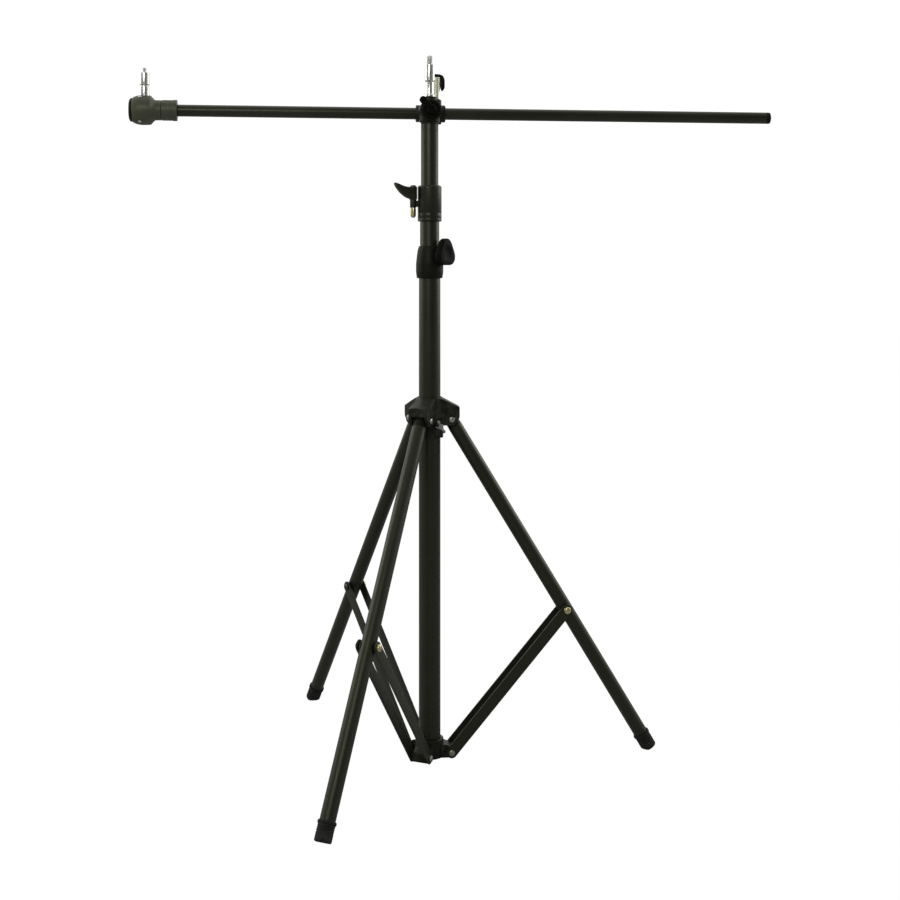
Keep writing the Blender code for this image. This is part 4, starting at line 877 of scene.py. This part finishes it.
# %% Boom head
neck_x, face = HEAD_FACE - 0.011, HEAD_FACE
thick_x = neck_x - 0.006
end_x = thick_x - 0.029
head_r, neck_r = 0.0241, 0.0163
profile = [(0, end_x), (0.0195, end_x), (0.0214, end_x + 0.0030), (0.0228, end_x + 0.0072)]
profile += [(0.0238, end_x + 0.0120), (head_r, end_x + 0.0165), (0.0239, end_x + 0.0225), (0.0235, thick_x)]
profile += [(0.0222, thick_x + 0.0012), (0.0178, neck_x - 0.0008), (neck_r, neck_x + 0.0012)]
profile += [(neck_r, face - 0.001), (neck_r - 0.001, face), (0, face)]
spigot_place = shift(face - 0.027, BOOM_Y, BOOM_Z)
cuts = [rod(BOOM_R + GAP, BOOM_LEFT - GAP, face + 0.02, 72, BOOM)]
cuts += [rod(SPIGOT_R + GAP, 0.0137, 0.05, 64, spigot_place)]
cuts += [pipe(0.0159, 0.020, neck_x + x, neck_x + x + 0.0008, 96, BOOM, 0.0002) for x in (0.0035, 0.0060)]
shank_r, seat = 0.0014, head_r
under = seat + GAP
screws = {}
for name, side in (("top", 1), ("low", -1)):
    lean = about("X", math.radians(90 - 54 * side))
    place = shift(face - 0.033, BOOM_Y, BOOM_Z) @ lean
    cuts += [rod(shank_r + GAP, seat - 0.0063, seat + 0.003, 32, place)]
    cuts += [rod(0.0028, seat - GAP, seat + 0.003, 32, place)]
    screw = [(0, seat - 0.006), (shank_r, seat - 0.006), (shank_r, under)]
    screw += dome(0.0025, under, seat + 0.00125, 0.7)
    slots = [slab(plate(-0.0016, 0.0016, 0.0003), seat + 0.0007, seat + 0.002, place @ spin(turn))
             for turn in (0.4, 0.4 + math.pi / 2)]
    screws[name] = carve("screw", turned(screw, 48, place), cut=slots)
body = carve("boom_head", turned(fillet(profile, 0.0012, 5), 96, BOOM), cut=cuts)
piece(body, head_casting, "boom_head", "boom_head_body")
for name, screw in screws.items():
    piece(screw, chrome, "boom_head", f"boom_head_screw_{name}")
print("boom head done")

# %% Boom head's cap and spigot
seam = end_x - GAP
cap_end = seam - 0.005
cap = [(0, cap_end + 0.0004), (0.0060, cap_end + 0.0002), (0.0150, cap_end), (0.0182, cap_end + 0.0015)]
cap += [(0.0195, seam), (0, seam)]
groove = pipe(0.0095, 0.0105, cap_end - 0.001, cap_end + 0.0007, 96, BOOM, 0.0002)
body = carve("cap", turned(fillet(cap, 0.0010, 5), 96, BOOM), cut=[groove])
piece(body, plastic, "boom_head", "boom_head_cap")
foot, top, waist_r = 0.0140, 0.0598, 0.0069
stem = [(0, foot), (SPIGOT_R, foot), (SPIGOT_R, 0.0370), (waist_r, 0.0380), (waist_r, 0.0395)]
stem += [(SPIGOT_R, 0.0405), (SPIGOT_R, top), (0, top)]
stem = turned(fillet(stem, 0.0007, 4), 96, spigot_place)
tip = threaded(0.0031, 0.0004, 0.00127, top - 0.0008, 0.0679, spigot_place, 48, 0.0010)
piece(merged(stem, tip), chrome, "boom_head", "boom_spigot")
print("cap and spigot done")

# %% [markdown]
# ## The leg collar
# One casting with three forks. Its roof slopes away from the column, each fork straddles a
# leg's knuckle, and a grey wing screw locks the collar on the column.

# %% Leg collar
LOW, TOP, LOBE, HALF, SLOT_HALF = 0.5170, 0.5822, 0.0470, 0.0165, 0.0120
inner, liner_wall = 0.00875, 0.0012
bore_r = COLUMN_R + GAP + liner_wall + GAP
lobe_r, slot_r = 0.0095, 0.0120
lobe_low = LEG_PIVOT - lobe_r
above = TOP + 0.023


def roof(r):
    return TOP - 0.0150 / (LOBE - bore_r) * (r - bore_r)


joined, cuts = [], []
for azimuth in AZIMUTHS.values():
    outline = [(inner, lobe_low)] + arc((FOLD_R, LEG_PIVOT), lobe_r, -90, -10, 12)
    outline += [(LOBE - 0.0004, LEG_PIVOT + 0.0024), (LOBE, LEG_PIVOT + 0.0042)]
    outline += [(LOBE, above), (inner, above)]
    joined.append(slab(outline, -HALF, HALF, plane_of(azimuth)))
    brow = arc((FOLD_R, LEG_PIVOT), slot_r, 35, 180, 16)
    mouth, under = LOBE + 0.02, lobe_low - 0.02
    pocket = [(FOLD_R - slot_r, under), (mouth, under), (mouth, brow[0][1])] + brow
    cuts.append(slab(pocket, -SLOT_HALF, SLOT_HALF, plane_of(azimuth)))
    cuts.append(rod(BOLT_WAY, -0.05, 0.05, 32, across(azimuth, FOLD_R, LEG_PIVOT)))
wing_boss = 0.0268
WING = outward(math.radians(-65), 0.5365)
joined.append(rod(0.0060, 0.0190, wing_boss, 48, WING, 0.0005))
top_cut = turned([(0, 0.66), (0.07, 0.66), (0.07, roof(0.07)), (0, roof(0))], 96)
screw_way = rod(SCREW_WAY, 0.010, 0.05, 32, WING)
cuts = [top_cut, rod(bore_r, LOW - 0.02, above + 0.02, 96)] + cuts + [screw_way]
body = carve("leg_collar", rod(bore_r + 0.0028, LOW, above, 96), joined, cuts, 0.0009)
piece(body, casting, "leg_collar", "leg_collar")
print("leg collar done")

# %% Liner and leg bolts
sleeve = pipe(COLUMN_R + GAP, bore_r - GAP, LOW, TOP - liner_wall, 96)
sleeve = carve("liner", sleeve, cut=[rod(SCREW_WAY, 0.010, 0.05, 32, WING)])
piece(sleeve, liner, "leg_collar", "leg_collar_liner")
seat = HALF + GAP
bolt = through_bolt(BOLT_R, 0.0045, seat, seat + 0.0030, across(0.0, FOLD_R, LEG_PIVOT))
nodes = [f"leg_pivot_bolt_{key}" for key in AZIMUTHS]
piece(in_turns(bolt, 3, bolt_zinc), bolt_zinc, "leg_collar", *nodes, name="leg_pivot_bolts_fine")
print("liner and bolts done")

# %% Wing screw
hub_low = wing_boss + GAP
hub_top = hub_low + 0.009
stem = [(0, 0.0178), (SCREW_R, 0.0178), (SCREW_R, hub_low), (0.0055, hub_low)]
stem += [(0.0044, hub_top), (0, hub_top)]
low, root, half = hub_low + 0.0018, 0.0022, 0.0125
side = [(root, low), (half * 0.9, low + 0.0033), (half, low + 0.0071), (half * 0.85, low + 0.0095)]
side += [(half * 0.6, low + 0.0095), (root, low + 0.0057)]
outline = [(-root, low)] + side + [(-x, y) for x, y in reversed(side[1:])]
flat = WING @ spin(math.radians(35)) @ about("X", math.pi / 2)
wings = slab(fillet(outline, 0.0022, 5, False), -0.0018, 0.0018, flat, 0.0008)
body = carve("wing_screw", turned(fillet(stem, 0.0008, 4), 64, WING), [wings])
piece(body, zinc, "leg_lock", "leg_lock_wing")
print("wing screw done")

# %% [markdown]
# ## Legs
# Each leg is a tube on a plastic knuckle, and stands in a rubber cup that is cut flat on the
# floor. The cup has three shallow grip grooves.

# %% Rubber foot
def foot_solid(place):
    top = LEG_TUBE_END - 0.0170
    inner, outer, rim = LEG_R + GAP, 0.0125, 0.0136
    end = (LEG_PIVOT + 0.005 - outer * math.sin(LEG_TILT)) / math.cos(LEG_TILT)
    rim_end = top + 0.0045
    profile = [(0, LEG_TUBE_END + GAP), (inner, LEG_TUBE_END + GAP), (inner, top), (rim - 0.0006, top)]
    profile += [(rim, top + 0.0008), (rim, rim_end - 0.0008), (rim - 0.0006, rim_end)]
    profile += [(outer, rim_end + 0.0002)]
    groove, deep, toe = 0.0014, outer - 0.0005, 0.0022
    for start in (top + 0.0080, top + 0.0110, top + 0.0140):
        profile += [(outer, start), (deep, start + 0.0004), (deep, start + 0.0010), (outer, start + groove)]
    profile += arc((outer - toe, end - toe), toe, 0, 90, 8)[:-1] + [(outer - toe, end), (0, end)]
    solid = turned(profile, 96, place)
    everything = solid.verts[:] + solid.edges[:] + solid.faces[:]
    cut = bmesh.ops.bisect_plane(
        solid, geom=everything, plane_co=(0, 0, 0), plane_no=(0, 0, 1), clear_inner=True)
    rim_edges = [e for e in cut["geom_cut"] if isinstance(e, bmesh.types.BMEdge)]
    bmesh.ops.contextual_create(solid, geom=rim_edges)
    return solid


print("foot outline ready")

# %% Legs
knuckle_r, knuckle_end, plug_r, plug_end = LEG_R - GAP, 0.0122, 0.0098, 0.0305
for key, azimuth in AZIMUTHS.items():
    down, name = down_leg(azimuth), f"leg_{key}"
    pivot = across(azimuth, FOLD_R, LEG_PIVOT)
    wall = pipe(LEG_R - 0.0014, LEG_R, knuckle_end + GAP, LEG_TUBE_END, 72, down)
    bolt_way = rod(SCREW_WAY, -0.03, 0.03, 32, across(azimuth, *BRACE_TOP))
    piece(carve("tube", wall, cut=[bolt_way]), leg_tube, name, f"{name}_tube")
    knuckle = [(0, -knuckle_r)] + arc((0, 0), knuckle_r, -90, 0, 14)[1:]
    knuckle += [(knuckle_r, knuckle_end), (plug_r, knuckle_end), (plug_r, plug_end), (0, plug_end)]
    body = carve("knuckle", turned(knuckle, 72, down), cut=[rod(BOLT_WAY, -0.03, 0.03, 32, pivot)])
    piece(body, plastic, name, f"{name}_knuckle")
    piece(foot_solid(down), rubber, name, f"{name}_foot")
print("legs done")

# %% [markdown]
# ## Braces and hub
# Each brace is a pair of flat strips with round ends. A dark bolt head closes one side and a
# brass nut the other; the strips turn on chrome bolts in the lower hub.

# %% Brace strips
run, rise = BRACE_TOP[0] - FOLD_R, BRACE_TOP[1] - HUB_PIVOT
length, lean = math.hypot(run, rise), math.atan2(rise, run)
end_r = 0.009
outline = arc((0, 0), end_r, 90, 270, 20) + arc((length, 0), end_r, -90, 90, 20)
at_hub = shift(FOLD_R, HUB_PIVOT, 0) @ spin(lean)
for key, azimuth in AZIMUTHS.items():
    side = NUT_SIDES[key]
    for number, facing in ((1, side), (2, -side)):
        near, far = sorted((facing * STRIP_IN, facing * STRIP_OUT))
        ends = ((FOLD_R, HUB_PIVOT), BRACE_TOP)
        ways = [rod(SCREW_WAY, -0.03, 0.03, 32, across(azimuth, *end)) for end in ends]
        body = carve("strip", slab(outline, near, far, plane_of(azimuth) @ at_hub, 0.0004), cut=ways)
        piece(body, leg_tube, f"brace_{key}", f"brace_{key}_strip_{number}")
print("brace strips done")

# %% Brace bolts and nuts
inside, seat = STRIP_IN + GAP, STRIP_OUT + GAP
shank = [(0, inside), (SCREW_R, inside), (SCREW_R, seat)]
half_turn = about("X", math.pi)
for key, azimuth in AZIMUTHS.items():
    pivot = across(azimuth, *BRACE_TOP)
    nut_place, head_place = (pivot @ half_turn, pivot) if NUT_SIDES[key] > 0 else (pivot, pivot @ half_turn)
    nut = turned(shank + dome(0.00575, seat, seat + 0.0052, 0.55), 64, nut_place)
    piece(nut, brass, f"brace_{key}", f"brace_{key}_nut")
    head = turned(shank + dome(0.0055, seat, seat + 0.0034, 0.6), 64, head_place)
    socket = socket_cut(0.0022, seat + 0.0034, 0.0014, head_place)
    piece(carve("bolt", head, cut=[socket]), dark_zinc, f"brace_{key}", f"brace_{key}_bolt")
print("brace bolts done")

# %% Lower hub
hub_r, hub_top, lug_r, lug_top = 0.0225, 0.0310, 0.0085, 0.0220
hub_low = HUB_PIVOT - lug_r
profile = fillet([(0, hub_low), (hub_r, hub_low), (hub_r, hub_top), (0, hub_top)], 0.0022, 5)
lugs, cuts = [], [rod(COLUMN_R + GAP, -0.05, 0.08, 96)]
for azimuth in AZIMUTHS.values():
    outline = [(inner, hub_low)] + arc((FOLD_R, HUB_PIVOT), lug_r, -90, 90, 20)
    outline += [(0.02505, lug_top), (inner, lug_top)]
    lugs.append(slab(outline, -0.01325, 0.01325, plane_of(azimuth)))
    cuts.append(rod(SCREW_WAY, -0.05, 0.05, 32, across(azimuth, FOLD_R, HUB_PIVOT)))
piece(carve("hub", turned(profile, 96), lugs, cuts, 0.0007), casting, "base", "bottom_hub")
bolt = through_bolt(SCREW_R, 0.0050, seat, seat + 0.0036, across(0.0, FOLD_R, HUB_PIVOT))
nodes = [f"hub_bolt_{key}" for key in AZIMUTHS]
piece(in_turns(bolt, 3, bolt_zinc), bolt_zinc, "base", *nodes, name="hub_bolts_fine")
print("hub done")

# %% [markdown]
# ## Floor, light and camera
# The picture was taken against white, level with the stand's middle and a little to its left,
# so the white surround brightens both edges of each black tube and leaves the middle dark.

# %% Floor
floor_mesh = bpy.data.meshes.new("floor")
edge = 14.0
corners = [(-edge, -edge, 0), (edge, -edge, 0), (edge, edge, 0), (-edge, edge, 0)]
floor_mesh.from_pydata(corners, [], [(0, 1, 2, 3)])
floor = new_object("floor", floor_mesh)
paper = Tree("white_paper")
paper.const(Roughness=0.9, Specular_IOR_Level=0.1)
grain = paper.noise(6.0, 3.0, 0.5)
paper.feed("Base Color", paper.mix(grain, (0.36, 0.36, 0.36), (0.40, 0.40, 0.40)))
glow = paper.node("ShaderNodeEmission", Color=(1, 1, 1, 1), Strength=1.09)
seen = paper.node("ShaderNodeLightPath", "Is Camera Ray")
blend = paper.tree.nodes.new("ShaderNodeMixShader")
for entry, source in zip(blend.inputs, ((seen * 0.90).socket, paper.shader.outputs[0], glow.socket)):
    paper.tree.links.new(source, entry)
paper.tree.links.new(blend.outputs[0], paper.tree.nodes["Material Output"].inputs["Surface"])
floor_mesh.materials.append(paper.material)
print("floor done")

# %% World and lamps
scene = bpy.context.scene
world = bpy.data.worlds.new("studio")
scene.world = world
world.use_nodes = True
sky = world.node_tree
back_node = sky.nodes["Background"]
back_node.inputs["Color"].default_value = (1, 1, 1, 1)
path = sky.nodes.new("ShaderNodeLightPath")
direction = sky.nodes.new("ShaderNodeTexCoord")
split = sky.nodes.new("ShaderNodeSeparateXYZ")
sky.links.new(direction.outputs["Generated"], split.inputs[0])
gloom = Wire(sky, split.outputs["Y"]).above(-0.85, 0.45) * 0.78 + 0.14
strength = gloom.math("MAXIMUM", Wire(sky, path.outputs["Is Camera Ray"]) * 1.05)
sky.links.new(strength.socket, back_node.inputs["Strength"])


def lamp(name, where, target, size, power):
    data = bpy.data.lights.new(name, "AREA")
    data.shape = "RECTANGLE"
    data.size, data.size_y = size
    data.energy = power
    thing = new_object(name, data)
    thing.location = where
    thing.rotation_euler = (Vector(target) - Vector(where)).to_track_quat("-Z", "Y").to_euler()


lamp("left_box", (-2.6, 0.7, 1.75), (0, 0, 1.05), (1.2, 1.5), 15)
lamp("right_box", (2.7, 0.7, 1.75), (0, 0, 1.05), (1.2, 1.5), 20)
lamp("top_box", (0.0, 0.3, 3.2), (0, 0, 0.6), (2.4, 1.6), 5)
lamp("front_box", (-1.0, -2.6, 1.9), (-0.3, 0, 1.1), (1.4, 0.8), 18)

# %% Camera
TURN, DISTANCE, EYE = math.radians(6.2), 2.1627, 0.7808
PICTURE, FOCAL, MAST_COLUMN, HORIZON_ROW = 900, 1335.0, 429.65, 274  # pixels
SENSOR = 36.0
camera = new_object("camera", bpy.data.cameras.new("camera"))
camera.location = (-DISTANCE * math.sin(TURN), -DISTANCE * math.cos(TURN), EYE)
camera.rotation_euler = (math.pi / 2, 0, -TURN)
camera.data.sensor_width = SENSOR
camera.data.lens = SENSOR * FOCAL / PICTURE
camera.data.shift_x = (PICTURE / 2 - MAST_COLUMN) / PICTURE
camera.data.shift_y = (HORIZON_ROW - PICTURE / 2) / PICTURE
scene.camera = camera
scene.view_settings.view_transform = "Standard"
print("lens:", round(camera.data.lens, 1), "mm")
